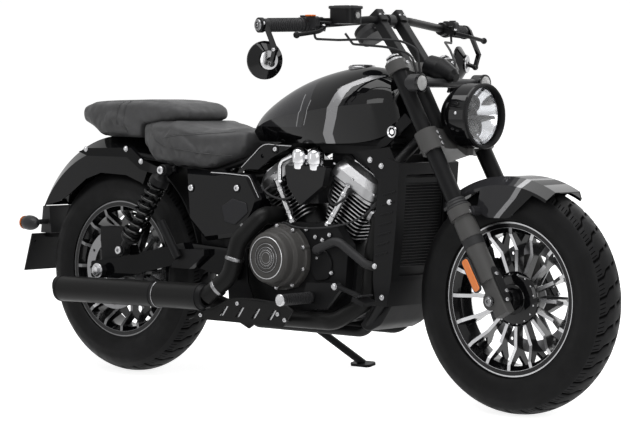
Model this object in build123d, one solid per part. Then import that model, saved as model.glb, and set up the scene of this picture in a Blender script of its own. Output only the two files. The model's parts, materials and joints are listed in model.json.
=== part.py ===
from build123d import *
import math
import os

# Cruiser motorcycle, in millimetres. Every piece is drawn on the upright machine: X forward from the rear
# axle, Y to the rider's left, Z up from the ground. The last section leans the whole machine onto its side
# stand and puts the origin at the middle of the footprint of its box, on the ground.

# ------------------------------------------------------------------------------------- driving sizes
LEAN = 10.0  # degrees to the left, on the side stand
WHEELBASE = 1420.0
RAKE = 30.0  # degrees, of fork and steering axis from upright

SEAT_GAP = 0.3  # between curved faces that meet
RUNNING_GAP = 0.05  # radial, between a shaft and its hole

FRONT_TYRE_RADIUS = 302.0
FRONT_TYRE_WIDTH = 124.0
REAR_TYRE_RADIUS = 306.0
REAR_TYRE_WIDTH = 150.0
TYRE_WALL = 11.0
TYRE_CROWN = 82.0  # radius of the crown's arc, alike on both tyres so that both stand when leaned
BEAD_PROUD = 3.0
RIM_RADIUS = 202.0
RIM_FLANGE = 7.0
FRONT_RIM_WIDTH = 86.0
REAR_RIM_WIDTH = 112.0
SPOKES = 16
SPOKE_WIDTH = 9.5
HUB_RADIUS = 58.0

FRONT_AXLE_RADIUS = 8.0
FRONT_AXLE_LENGTH = 262.0
FRONT_HUB_WIDTH = 116.0
REAR_AXLE_RADIUS = 9.0
REAR_AXLE_LENGTH = 330.0
REAR_HUB_WIDTH = 156.0

FRONT_DISC_RADIUS = 146.0
REAR_DISC_RADIUS = 118.0
DISC_THICKNESS = 4.5
DISC_RING = 32.0

FORK_SPREAD = 107.0  # each leg's distance from the middle plane
FORK_AHEAD = 14.0  # fork line ahead of the axle, square to the fork
STEM_BEHIND = 40.0  # steering axis behind the fork line, square to it
FORK_TUBE_RADIUS = 20.5
FORK_COVER_RADIUS = 22.5
FORK_LOWER_RADIUS = 27.0
FORK_COLLAR_RADIUS = 33.0
LUG_WIDTH = 34.0
STEM_RADIUS = 14.0
HEAD_TUBE_RADIUS = 30.0

# Heights along the fork, from the point of its line that lies nearest the axle.
LOWER_END = -46.0
LUG_TOP = 62.0
COLLAR_LOW = 234.0
COLLAR_HIGH = 262.0
LOWER_CLAMP_LOW = 430.0
LOWER_CLAMP_HIGH = 490.0
UPPER_CLAMP_LOW = 668.0
UPPER_CLAMP_HIGH = 698.0
FORK_CAP_TOP = 712.0

BAR_RADIUS = 11.1
BAR_CENTRE = (974.0, 1029.0)  # X and Z of the bar's middle
BAR_MIDDLE_HALF = 82.0
BAR_BEND = (938.0, 286.0, 1012.0)
BAR_END = (899.0, 425.0, 1008.0)
GRIP_LENGTH = 122.0
GRIP_RADIUS = 17.0
RISER_SPREAD = 42.0
RISER_WIDTH = 30.0
RISER_DEPTH = 27.0
MIRROR_RADIUS = 50.0
MIRROR_CENTRE = (890.0, 410.0, 917.0)  # of the left glass
MIRROR_FACING = (0.927, 0.373, 0.0)  # from the glass to the back of the shell
MIRROR_ARM = [(914.0, 1012.0), (949.0, 944.0), (937.0, 908.0)]  # X and Z of the arm's bends
SWITCH_WIDTH = 20.0
PERCH_GAP = 4.0
PERCH = GRIP_LENGTH + SWITCH_WIDTH + PERCH_GAP
LEVER_TIP = (993.0, 399.0, 982.0)

HEADLAMP_CENTRE = (1300.0, 775.0)  # X and Z of the lens rim
HEADLAMP_RADIUS = 86.0
HEADLAMP_DEPTH = 122.0
LENS_RADIUS = 76.0

CRANK = (780.0, 360.0)  # X and Z of the crankshaft
V_HALF_ANGLE = 30.0
FIN_COUNT = 10
FIN_PITCH = 11.0
FIN_THICKNESS = 3.2
FIN_HALF_LONG = 77.0
FIN_HALF_WIDE = 72.0
BARREL_RADIUS = 56.0
CRANKCASE_HALF = 76.0
CAM_DEPTH = 30.0
CLUTCH_CENTRE = (701.0, 380.0)
CLUTCH_RADIUS = 67.0
CLUTCH_OUT = 190.0

SWINGARM_INNER = 105.0
SWINGARM_OUTER = 130.0
FRAME_TUBE_RADIUS = 14.0

MUFFLER_RADIUS = 37.0
PIPE_RADIUS = 25.0

STAND_PIVOT = (575.0, 126.0, 178.0)
STAND_EYE_HALF = 8.0
STAND_PIN_RADIUS = 6.0
STAND_FOOT = (668.0, 268.0)  # X and Y of the middle of the foot
STAND_STOWED = (-0.965, 0.17, 0.20)  # direction of the leg when it is folded up
STAND_RADIUS = 11.0

# ------------------------------------------------------------------------------------- derived places
FRONT_AXLE = (WHEELBASE, FRONT_TYRE_RADIUS)
REAR_AXLE = (0.0, REAR_TYRE_RADIUS)
SIN_RAKE = math.sin(math.radians(RAKE))
COS_RAKE = math.cos(math.radians(RAKE))
TAN_LEAN = math.tan(math.radians(LEAN))


# ------------------------------------------------------------------------------------- plain helpers
def both_sides(shape):
    """The shape and its mirror image across the middle plane."""
    return Part() + [shape, mirror(shape, about=Plane.XZ)]


def slab(outline, y_low, y_high, corner=0.0):
    """Solid between two upright planes, its outline given as (X, Z) points."""
    face = make_face(Polyline(*[(x, z) for x, z in outline], close=True))
    if corner:
        face = fillet(face.vertices(), corner)
    return extrude(Plane.XZ.offset(-y_high) * face, y_high - y_low, dir=(0, -1, 0))


def bar(start, end, radius):
    """Round bar from one point to another."""
    axis = Vector(*end) - Vector(*start)
    return extrude(Plane(origin=start, z_dir=axis) * Circle(radius), axis.length)


def beam(start, end, wide, deep, corner=0.0):
    """Bar of rectangular section, wide along Y, from one point to another in an upright plane."""
    axis = Vector(*end) - Vector(*start)
    section = RectangleRounded(wide, deep, corner) if corner else Rectangle(wide, deep)
    return extrude(Plane(origin=start, x_dir=(0, 1, 0), z_dir=axis) * section, axis.length)


def tube(points, radius, bend):
    """Round bar along straight runs joined by arcs of the given radius or radii."""
    path = FilletPolyline(*points, radius=bend)
    return sweep(Plane(origin=path @ 0, z_dir=path % 0) * Circle(radius), path=path)


def across(centre, radius, y_low, y_high):
    """Round disc or bar along Y, with its centre given as (X, Z)."""
    return bar((centre[0], y_low, centre[1]), (centre[0], y_high, centre[1]), radius)


def turned(centre, profile, arc=360.0):
    """Solid of (radius, Y) points turned about the line along Y through (X, Z)."""
    plane = Plane(origin=(centre[0], 0, centre[1]))
    face = plane * make_face(Polyline(*profile, close=True))
    return revolve(face, axis=Axis((centre[0], 0, centre[1]), (0, 1, 0)), revolution_arc=arc)


def spread(shape, centre, count):
    """Copies of the shape at even angles about the line along Y through (X, Z)."""
    hub = Pos(centre[0], 0, centre[1])
    return [hub * Rot(0, 360 * i / count, 0) * hub.inverse() * shape for i in range(count)]


def on_fork(height, side=0.0, ahead=0.0):
    """Point at a height along the fork, a distance to the left and one ahead of the fork line, square to it."""
    x = FRONT_AXLE[0] + (FORK_AHEAD + ahead) * COS_RAKE - height * SIN_RAKE
    z = FRONT_AXLE[1] + (FORK_AHEAD + ahead) * SIN_RAKE + height * COS_RAKE
    return (x, side, z)


def fork_plane(height):
    """Plane square to the fork: local x points ahead, local y to the left, origin on the steering axis."""
    return Plane(
        origin=on_fork(height, ahead=-STEM_BEHIND), x_dir=(COS_RAKE, 0, SIN_RAKE), z_dir=(-SIN_RAKE, 0, COS_RAKE)
    )


# ------------------------------------------------------------------------------------- wheels
def tyre(centre, radius, width, rim_width):
    """Carcass open towards the rim: one crown arc, and a side wall arc from each shoulder to its bead."""
    height = radius - RIM_RADIUS

    def half_section(wall):
        shoulder = 0.8 * (width / 2 - wall)
        crown = TYRE_CROWN - wall
        return {
            "bead": (RIM_RADIUS, rim_width / 2 + BEAD_PROUD - wall),
            "side": (RIM_RADIUS + 0.45 * height, width / 2 - wall),
            "shoulder": (radius - TYRE_CROWN + math.sqrt(crown**2 - shoulder**2), shoulder),
            "top": (radius - wall, 0),
        }

    def mirrored(point):
        return (point[0], -point[1])

    edges = []
    outer, inner = half_section(0), half_section(TYRE_WALL)
    for part in (outer, inner):
        edges.append(ThreePointArc(part["bead"], part["side"], part["shoulder"]))
        edges.append(ThreePointArc(part["shoulder"], part["top"], mirrored(part["shoulder"])))
        edges.append(ThreePointArc(mirrored(part["shoulder"]), mirrored(part["side"]), mirrored(part["bead"])))
    edges.append(Line(outer["bead"], inner["bead"]))
    edges.append(Line(mirrored(outer["bead"]), mirrored(inner["bead"])))
    face = Plane(origin=(centre[0], 0, centre[1])) * make_face(edges)
    return revolve(face, axis=Axis((centre[0], 0, centre[1]), (0, 1, 0)))


def wheel(centre, rim_width, hub_width, axle_radius, flange_side, flange_reach):
    """Cast wheel: rim, hub with one brake flange, and spokes that fork towards both rim edges."""
    half = rim_width / 2
    seat = RIM_RADIUS - SEAT_GAP
    rim_side = [(seat, half), (seat, half - RIM_FLANGE), (190, half - 9), (182, half - 22)]
    bore_side = [(174, half - 20), (186, half)]
    rim = turned(
        centre,
        rim_side + [(r, -y) for r, y in reversed(rim_side)] + [(r, -y) for r, y in reversed(bore_side)] + bore_side,
    )
    reach = hub_width / 2
    bore = axle_radius + RUNNING_GAP
    hub_side = [(bore, reach), (26, reach), (31, 20), (HUB_RADIUS, 15)]
    hub = turned(centre, hub_side + [(r, -y) for r, y in reversed(hub_side)])
    flange = turned(
        centre,
        [(20, flange_side * 15), (48, flange_side * 15), (44, flange_side * flange_reach), (20, flange_side * flange_reach)],
    )
    fork_side = [(50, 13), (128, 13), (170, half - 2), (187, half - 1), (187, half - 12), (178, half - 14), (148, 0)]
    outline = fork_side + [(r, -y) for r, y in reversed(fork_side[:-1])]
    spoke_face = Plane(origin=(centre[0], 0, centre[1] - SPOKE_WIDTH / 2)) * make_face(Polyline(*outline, close=True))
    spoke = extrude(spoke_face, SPOKE_WIDTH, dir=(0, 0, 1))
    return rim + hub + flange + spread(spoke, centre, SPOKES) - across(centre, bore, -reach - 1, reach + 1)


def brake_disc(centre, radius, y_low, bore):
    """Drilled friction ring carried by six arms on a ring bolted to the hub."""
    y_high = y_low + DISC_THICKNESS
    inner = radius - DISC_RING
    friction = turned(centre, [(inner, y_low), (radius, y_low), (radius, y_high), (inner, y_high)])
    carrier = turned(centre, [(bore, y_low), (bore + 22, y_low), (bore + 22, y_high), (bore, y_high)])
    arm_face = Pos(centre[0] + (bore + 14 + inner + 4) / 2, centre[1]) * Rectangle(inner - bore - 10, 14)
    arm = extrude(Plane.XZ.offset(-y_high) * arm_face, DISC_THICKNESS, dir=(0, -1, 0))
    hole = across((centre[0] + radius - DISC_RING / 2, centre[1]), 4.5, y_low - 1, y_high + 1)
    return friction + carrier + spread(arm, centre, 6) - spread(hole, centre, 12)


FRONT_DISC_Y = 58.0
REAR_DISC_Y = -78.0
PULLEY_RADIUS = 98.0
PULLEY_LOW = 78.3
BELT_WIDTH = 17.0
BELT_THICKNESS = 5.0
FRONT_PULLEY = (640.0, 360.0)
FRONT_PULLEY_RADIUS = 34.0


def rear_pulley():
    """Belt pulley on the left of the hub: two lips, a belt land and six windows."""
    high = PULLEY_LOW + BELT_WIDTH
    land = turned(REAR_AXLE, [(PULLEY_RADIUS - 12, PULLEY_LOW), (PULLEY_RADIUS, PULLEY_LOW), (PULLEY_RADIUS, high), (PULLEY_RADIUS - 12, high)])
    web = turned(REAR_AXLE, [(22, PULLEY_LOW), (PULLEY_RADIUS - 10, PULLEY_LOW), (PULLEY_RADIUS - 10, PULLEY_LOW + 8), (22, PULLEY_LOW + 8)])
    window = across((REAR_AXLE[0] + 66, REAR_AXLE[1]), 14, PULLEY_LOW - 1, high)
    return land + web - spread(window, REAR_AXLE, 6)


def drive_belt():
    """Closed belt: two straight runs tangent to both pulleys and the arcs round them."""

    def loop(extra):
        big = Pos(*REAR_AXLE) * Circle(PULLEY_RADIUS + extra)
        small = Pos(*FRONT_PULLEY) * Circle(FRONT_PULLEY_RADIUS + extra)
        length = math.dist(REAR_AXLE, FRONT_PULLEY)
        heading = math.atan2(FRONT_PULLEY[1] - REAR_AXLE[1], FRONT_PULLEY[0] - REAR_AXLE[0])
        lift = math.acos((PULLEY_RADIUS - FRONT_PULLEY_RADIUS) / length)
        corners = []
        for centre, radius, sign in ((REAR_AXLE, PULLEY_RADIUS, 1), (FRONT_PULLEY, FRONT_PULLEY_RADIUS, 1),
                                     (FRONT_PULLEY, FRONT_PULLEY_RADIUS, -1), (REAR_AXLE, PULLEY_RADIUS, -1)):
            angle = heading + sign * lift
            corners.append((centre[0] + (radius + extra) * math.cos(angle), centre[1] + (radius + extra) * math.sin(angle)))
        return big + small + make_face(Polyline(*corners, close=True))

    face = loop(SEAT_GAP + BELT_THICKNESS) - loop(SEAT_GAP)
    plane = Plane.XZ.offset(-(PULLEY_LOW + BELT_WIDTH - 0.5))
    return extrude(plane * face, BELT_WIDTH - 1, dir=(0, -1, 0))


# ------------------------------------------------------------------------------------- fork and bars
def fork_tubes():
    """Upper tube with its cap, and the thicker cover below the lower clamp, on each side."""
    plain = bar(on_fork(COLLAR_HIGH - 20, FORK_SPREAD), on_fork(FORK_CAP_TOP - 8, FORK_SPREAD), FORK_TUBE_RADIUS)
    cover = bar(on_fork(COLLAR_HIGH, FORK_SPREAD), on_fork(LOWER_CLAMP_LOW, FORK_SPREAD), FORK_COVER_RADIUS)
    cap = bar(on_fork(FORK_CAP_TOP - 8, FORK_SPREAD), on_fork(FORK_CAP_TOP, FORK_SPREAD), FORK_TUBE_RADIUS - 5)
    return both_sides(plain + cover + cap)


def fork_lowers():
    """Sliders with a collar, a band for the fender's lug and a flat lug for the axle."""
    y = FORK_SPREAD
    slider = bar(on_fork(LUG_TOP - 12, y), on_fork(COLLAR_HIGH, y), FORK_LOWER_RADIUS)
    slider += bar(on_fork(COLLAR_LOW, y), on_fork(COLLAR_HIGH, y), FORK_COLLAR_RADIUS)
    slider += bar(on_fork(COLLAR_LOW - 60, y), on_fork(COLLAR_LOW - 10, y), FORK_LOWER_RADIUS + 2)
    slider += beam(on_fork(LOWER_END, y), on_fork(LUG_TOP, y), LUG_WIDTH, 44, 6)
    slider += across(FRONT_AXLE, 24, y - LUG_WIDTH / 2, y + LUG_WIDTH / 2)
    slider -= bar(on_fork(COLLAR_HIGH - 20, y), on_fork(COLLAR_HIGH + 1, y), FORK_TUBE_RADIUS)
    slider -= across(FRONT_AXLE, FRONT_AXLE_RADIUS, y - 40, y + 40)
    return both_sides(slider)


def front_axle():
    """Axle with a head at each end and a spacer on each side of the hub."""
    half = FRONT_AXLE_LENGTH / 2
    lug_in, lug_out = FORK_SPREAD - LUG_WIDTH / 2, FORK_SPREAD + LUG_WIDTH / 2
    hub_end = FRONT_HUB_WIDTH / 2 + SEAT_GAP
    axle = across(FRONT_AXLE, FRONT_AXLE_RADIUS, -half, half)
    for low, high, radius in ((lug_out, half, 13), (hub_end, lug_in, 15)):
        axle += across(FRONT_AXLE, radius, low, high)
        axle += across(FRONT_AXLE, radius, -high, -low)
    return axle


def clamp(low, high, reach, stem_low, stem_high, middle_ahead):
    """Triple clamp: a waisted plate with a round eye for each tube, and its stem or stem nut."""
    thick = high - low
    eyes = [Pos(STEM_BEHIND, side) * Circle(reach) for side in (-FORK_SPREAD, FORK_SPREAD)]
    inner, outer = STEM_BEHIND - reach + 8, STEM_BEHIND + reach - 8
    half = [(-24, 28), (inner, 80), (inner, FORK_SPREAD), (outer, FORK_SPREAD), (middle_ahead, 50)]
    plate = make_face(Polyline(*half, *[(x, -y) for x, y in reversed(half)], close=True))
    body = extrude(fork_plane(low) * (plate + eyes), thick)
    for side in (-FORK_SPREAD, FORK_SPREAD):
        body -= bar(on_fork(low - 1, side), on_fork(high + 1, side), FORK_TUBE_RADIUS)
    ahead = -STEM_BEHIND
    return body + bar(on_fork(stem_low, ahead=ahead), on_fork(stem_high, ahead=ahead), STEM_RADIUS)


HEAD_LOW = LOWER_CLAMP_HIGH + 0.5
HEAD_HIGH = UPPER_CLAMP_LOW - 0.5


def lower_clamp():
    """Lower clamp, the steering stem, and the arm that carries the headlamp."""
    body = clamp(LOWER_CLAMP_LOW, LOWER_CLAMP_HIGH, 31, LOWER_CLAMP_LOW, UPPER_CLAMP_LOW, STEM_BEHIND + 14)
    lamp_x, lamp_z = HEADLAMP_CENTRE
    foot = on_fork(LOWER_CLAMP_LOW + 16, ahead=10)
    arm = beam(foot, (lamp_x - 48, 0, lamp_z - HEADLAMP_RADIUS - 10), 34, 16, 4)
    arm += bar((lamp_x - 48, 0, lamp_z - HEADLAMP_RADIUS - 18), (lamp_x - 48, 0, lamp_z - HEADLAMP_RADIUS + 6), 11)
    return body + arm - headlamp_form()


def upper_clamp():
    """Upper clamp with the stem nut."""
    body = clamp(UPPER_CLAMP_LOW, UPPER_CLAMP_HIGH, 29, UPPER_CLAMP_LOW, UPPER_CLAMP_HIGH + 1, STEM_BEHIND + 6)
    nut = on_fork(UPPER_CLAMP_HIGH, ahead=-STEM_BEHIND)
    return body + bar(nut, on_fork(UPPER_CLAMP_HIGH + 12, ahead=-STEM_BEHIND), 17)


RISER_FOOT = on_fork(UPPER_CLAMP_HIGH, ahead=-STEM_BEHIND + 26)


def bar_risers():
    """Leaning posts from the upper clamp to the bar, each with a clamp block round it."""
    foot = (RISER_FOOT[0], RISER_SPREAD, RISER_FOOT[2])
    top = (BAR_CENTRE[0], RISER_SPREAD, BAR_CENTRE[1])
    lean = (Vector(*top) - Vector(*foot)).normalized()
    post = beam(Vector(*foot) - lean * 14, Vector(*top) + lean * 4, RISER_WIDTH, RISER_DEPTH, 3)
    post += beam(Vector(*top) - lean * 12, Vector(*top) + lean * 24, RISER_WIDTH, RISER_DEPTH + 12, 4)
    post -= bar((top[0], -200, top[2]), (top[0], 200, top[2]), BAR_RADIUS)
    below = fork_plane(UPPER_CLAMP_HIGH - 60) * Box(300, 400, 60, align=(Align.CENTER, Align.CENTER, Align.MIN))
    return both_sides(post - below)


def handlebar():
    """One bent tube, straight in the middle."""
    half = [(BAR_CENTRE[0], BAR_MIDDLE_HALF, BAR_CENTRE[1]), BAR_BEND, BAR_END]
    points = [(x, -y, z) for x, y, z in reversed(half)] + half
    return tube(points, BAR_RADIUS, 70)


def along_bar(distance, side=1):
    """Point of the bar's middle line, a distance in from its end."""
    end, bend = Vector(*BAR_END), Vector(*BAR_BEND)
    middle = Vector(BAR_CENTRE[0], BAR_MIDDLE_HALF, BAR_CENTRE[1])
    outer = (bend - end).length
    if distance <= outer:
        point = end + (bend - end).normalized() * distance
    else:
        point = bend + (middle - bend).normalized() * (distance - outer)
    return (point.X, side * point.Y, point.Z)


def on_bar(start, length, radius, side=1):
    """Sleeve on the bar, cut to it, from a distance in from the bar's end."""
    return bar(along_bar(start, side), along_bar(start + length, side), radius) - handlebar()


def grips():
    """Grip sleeve and end weight on each end of the bar."""
    sleeve = on_bar(0, GRIP_LENGTH, GRIP_RADIUS)
    weight = bar(along_bar(-16), along_bar(0), GRIP_RADIUS - 2)
    return both_sides(sleeve + weight)


def switch_housings():
    """Switch block on the bar inside each grip, bulging forward."""
    x, y, z = along_bar(GRIP_LENGTH + SEAT_GAP + SWITCH_WIDTH / 2)
    block = Pos(x + 20, y - 1, z + 5) * Box(44, SWITCH_WIDTH - 4, 34)
    block = fillet(block.edges().filter_by(Axis.Y), 9)
    return both_sides(on_bar(GRIP_LENGTH + SEAT_GAP, SWITCH_WIDTH, 21) + (block - handlebar()))


def levers():
    """Perch, blade and ball of each hand lever."""
    x, y, z = along_bar(PERCH + 9)
    knuckle = (x + 42, y + 4, z - 12)
    perch = on_bar(PERCH, 18, 18) + (beam((x, y, z), knuckle, 16, 14) - handlebar())
    tip_x, tip_y, tip_z = LEVER_TIP
    blade = tube([knuckle, (knuckle[0] + 18, y + 45, tip_z + 10), (tip_x, tip_y, tip_z)], 5.5, 60)
    ball = Pos(tip_x, tip_y, tip_z) * Sphere(9)
    return both_sides(perch + blade + ball)


def brake_reservoir():
    """Front master cylinder with its fluid box, on the right."""
    start = PERCH + 20
    x, y, z = along_bar(start + 10, side=-1)
    box = Pos(x + 72, y + 24, z + 22) * Box(78, 56, 44)
    box = fillet(box.edges().filter_by(Axis.Z), 16)
    neck = Pos(x + 26, y, z + 4) * Box(44, 18, 22)
    return on_bar(start, 20, 18, side=-1) + box + (neck - handlebar())


def mirrors():
    """Round mirror with a conical shell, held below each bar end by a bent flat arm."""
    centre, facing = Vector(*MIRROR_CENTRE), Vector(*MIRROR_FACING).normalized()
    profile = [(0, 3), (MIRROR_RADIUS - 5, 3), (MIRROR_RADIUS - 4, 0), (MIRROR_RADIUS, 0), (MIRROR_RADIUS, 8),
               (27, 24), (26, 30), (0, 30)]
    shell = revolve(Plane.XZ * make_face(Polyline(*profile, close=True)), axis=Axis.Z)
    shell = Plane(origin=centre, x_dir=(0, 0, 1), z_dir=facing) * shell
    y = BAR_END[1] + 8
    points = [(x, y, z) for x, z in MIRROR_ARM]
    arm = beam(points[0], points[1], 8, 12) + beam(points[1], points[2], 8, 12)
    arm += bar((points[1][0], y - 4, points[1][2]), (points[1][0], y + 4, points[1][2]), 6)
    knuckle = bar(centre + facing * 28, (points[2][0], y, points[2][2]), 6) + Pos(points[2][0], y, points[2][2]) * Sphere(9)
    collar = bar(along_bar(-13), along_bar(-3), GRIP_RADIUS + 3) - bar(along_bar(-17), along_bar(1), GRIP_RADIUS - 2)
    ring = bar(along_bar(-17), along_bar(1), GRIP_RADIUS + 1)
    return both_sides(collar + (arm - ring) + knuckle + shell)


def headlamp_form():
    """Whole bucket: a dome at the back, a barrel and a rim at the front, turned about a level line."""
    lamp_x, lamp_z = HEADLAMP_CENTRE
    r = HEADLAMP_RADIUS
    edge = [
        Line((0, 0), (0, r - 4)), Line((0, r - 4), (-6, r)), Line((-6, r), (-52, r)),
        ThreePointArc((-52, r), (-HEADLAMP_DEPTH + 26, r * 0.72), (-HEADLAMP_DEPTH, 22)),
        Line((-HEADLAMP_DEPTH, 22), (-HEADLAMP_DEPTH, 0)),
        Line((-HEADLAMP_DEPTH, 0), (0, 0)),
    ]
    face = Plane.XZ * (Pos(lamp_x, lamp_z) * make_face(edge))
    return revolve(face, axis=Axis((lamp_x, 0, lamp_z), (1, 0, 0)))


def headlamp_bucket():
    """Bucket opened at the front for the lens."""
    lamp_x, lamp_z = HEADLAMP_CENTRE
    bowl = bar((lamp_x - 58, 0, lamp_z), (lamp_x + 1, 0, lamp_z), LENS_RADIUS)
    return headlamp_form() - bowl


def headlamp_lens():
    """Lens and reflector unit, filling the mouth of the bucket."""
    lamp_x, lamp_z = HEADLAMP_CENTRE
    unit = bar((lamp_x - 58, 0, lamp_z), (lamp_x - 4, 0, lamp_z), LENS_RADIUS - SEAT_GAP)
    return chamfer(unit.edges().sort_by(Axis.X)[-1], 5)


METER_TOP = (905.0, 0.0, 1010.0)
METER_AXIS = (0.6, 0.0, -0.8)
METER_RADIUS = 45.0
METER_DEPTH = 35.0
NACELLE = [((1114.0, 908.0), 29.0), ((1152.0, 898.0), 31.0), ((1196.0, 880.0), 20.0), ((1206.0, 875.0), 12.0)]  # centre X, Z, radius


def instrument():
    """Round meter behind the bar, on a short arm that clasps it."""
    plane = Plane(origin=METER_TOP, x_dir=(0, 1, 0), z_dir=METER_AXIS)
    can = extrude(plane * Circle(METER_RADIUS), 22)
    can += extrude(plane.offset(22) * Circle(METER_RADIUS), METER_DEPTH - 22, taper=24)
    x, z = BAR_CENTRE
    middle = Vector(*METER_TOP) + Vector(*METER_AXIS) * METER_DEPTH / 2
    arm = bar((x, -13, z), (x, 13, z), BAR_RADIUS + 6) + beam((x, 0, z), middle, 20, 10)
    return can + (arm - bar((x, -20, z), (x, 20, z), BAR_RADIUS))


def lamp_nacelle():
    """Tapered cowl above the headlamp, seated on the cross stalk of the indicators."""
    axis = Vector(NACELLE[-1][0][0] - NACELLE[0][0][0], 0, NACELLE[-1][0][1] - NACELLE[0][0][1])
    rings = [Plane(origin=(x, 0, z), x_dir=(0, 1, 0), z_dir=axis) * Circle(radius) for (x, z), radius in NACELLE]
    x, _, z = INDICATOR
    stalk = bar((x - 22, -60, z), (x - 22, 60, z), 12)
    return loft(rings, ruled=True) - stalk


INDICATOR = (1197.0, 137.0, 861.0)


def front_indicators():
    """Indicator stalk across the fork and a round lamp on each end."""
    x, y, z = INDICATOR
    lamp = bar((x - 34, y, z), (x, y, z), 23) + bar((x - 46, y, z), (x - 34, y, z), 14)
    stalk = bar((x - 22, 0, z), (x - 22, y - 20, z), 12)
    stay = beam((x - 22, FORK_SPREAD - 8, z), (x - 90, FORK_SPREAD - 8, z - 4), 14, 16, 3)
    legs = bar(on_fork(LOWER_CLAMP_HIGH, FORK_SPREAD), on_fork(UPPER_CLAMP_LOW, FORK_SPREAD), FORK_TUBE_RADIUS)
    return both_sides(lamp + stalk + (stay - legs))


FENDER_RADIUS = 320.0
FENDER_HALF = 78.0
FENDER_WALL = 3.0
FENDER_FRONT = 62.0
FENDER_REAR = 130.0
FENDER_SKIRT = [(-83, 229), (-50, 212), (11, 212), (24, 215)]  # lower edge, from the axle


def channel(centre, radius, half, wall, skirt, shoulder, start, end):
    """Arched channel over a wheel: flat crown, sloped shoulders and side skirts, between two angles from +X."""
    outer = [(skirt, half), (radius - shoulder, half), (radius, half - shoulder * 1.1)]
    inner = [(r - wall, y - wall) if r > skirt else (skirt, y - wall) for r, y in outer]
    section = outer + [(r, -y) for r, y in reversed(outer)] + [(r, -y) for r, y in inner] + list(reversed(inner))
    arc = turned(centre, section, end - start)
    hub = Pos(centre[0], 0, centre[1])
    return hub * Rot(0, -end, 0) * hub.inverse() * arc


def front_fender():
    """Angular fender, a skirt on each side, and the lugs that bolt to the fork."""
    edge = FENDER_RADIUS - 30
    body = channel(FRONT_AXLE, FENDER_RADIUS, FENDER_HALF, FENDER_WALL, edge, 22, FENDER_FRONT, FENDER_REAR)
    x, z = FRONT_AXLE
    top = edge + 4

    def rim_point(along):
        return (x + along, z + math.sqrt(top**2 - along**2))

    low = [(x + a, z + b) for a, b in FENDER_SKIRT]
    outline = [Line(a, b) for a, b in zip([rim_point(-71), *low], [*low, rim_point(98)])]
    outline.append(ThreePointArc(rim_point(98), rim_point(0), rim_point(-71)))
    skirt = extrude(Plane.XZ.offset(-FENDER_HALF) * make_face(outline), FENDER_WALL, dir=(0, -1, 0))
    spot = on_fork(COLLAR_LOW + 4, FORK_SPREAD, 30)
    lug = bar((spot[0], FENDER_HALF - 1, spot[2]), (spot[0], FORK_SPREAD, spot[2]), 14)
    lug -= bar(on_fork(0, FORK_SPREAD), on_fork(COLLAR_HIGH, FORK_SPREAD), FORK_COLLAR_RADIUS + SEAT_GAP)
    return body + both_sides(skirt + lug)


def front_calliper():
    """Calliper over the front disc, behind the left leg."""
    angle = math.radians(160)
    mid = FRONT_DISC_RADIUS - 18
    x, z = FRONT_AXLE[0] + mid * math.cos(angle), FRONT_AXLE[1] + mid * math.sin(angle)
    block = Pos(x, FRONT_DISC_Y + 2, z) * Rot(0, -20, 0) * Box(62, 46, 96)
    slot = across(FRONT_AXLE, FRONT_DISC_RADIUS + 5, FRONT_DISC_Y - 5, FRONT_DISC_Y + DISC_THICKNESS + 5)
    lug = Pos(x + 38, 90, z + 16) * Rot(0, -20, 0) * Box(76, 16, 60)
    leg = bar(on_fork(0, FORK_SPREAD), on_fork(COLLAR_HIGH, FORK_SPREAD), FORK_LOWER_RADIUS + SEAT_GAP)
    foot = beam(on_fork(LOWER_END, FORK_SPREAD), on_fork(LUG_TOP, FORK_SPREAD), LUG_WIDTH, 44 + 2 * SEAT_GAP)
    wheel_room = turned(FRONT_AXLE, [(0, 0), (210, 0), (210, 50), (165, 48), (125, 20), (90, 20), (0, 60)])
    return block - slot - wheel_room + (lug - leg - foot)


# ------------------------------------------------------------------------------------- frame and body
HEAD_MIDDLE = on_fork((HEAD_LOW + HEAD_HIGH) / 2, ahead=-STEM_BEHIND)
PLATE_LOW = 99.0
PLATE_HIGH = SWINGARM_INNER - SEAT_GAP
LOWER_RAIL = 72.0
RAIL_RADIUS = 9.0
SEAT_RAIL = 100.3
BACKBONE_RADIUS = 22.0
BACKBONE = [(958.0, 770.0), (530.0, 653.5)]  # X and Z of its front bend and its rear end


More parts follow.
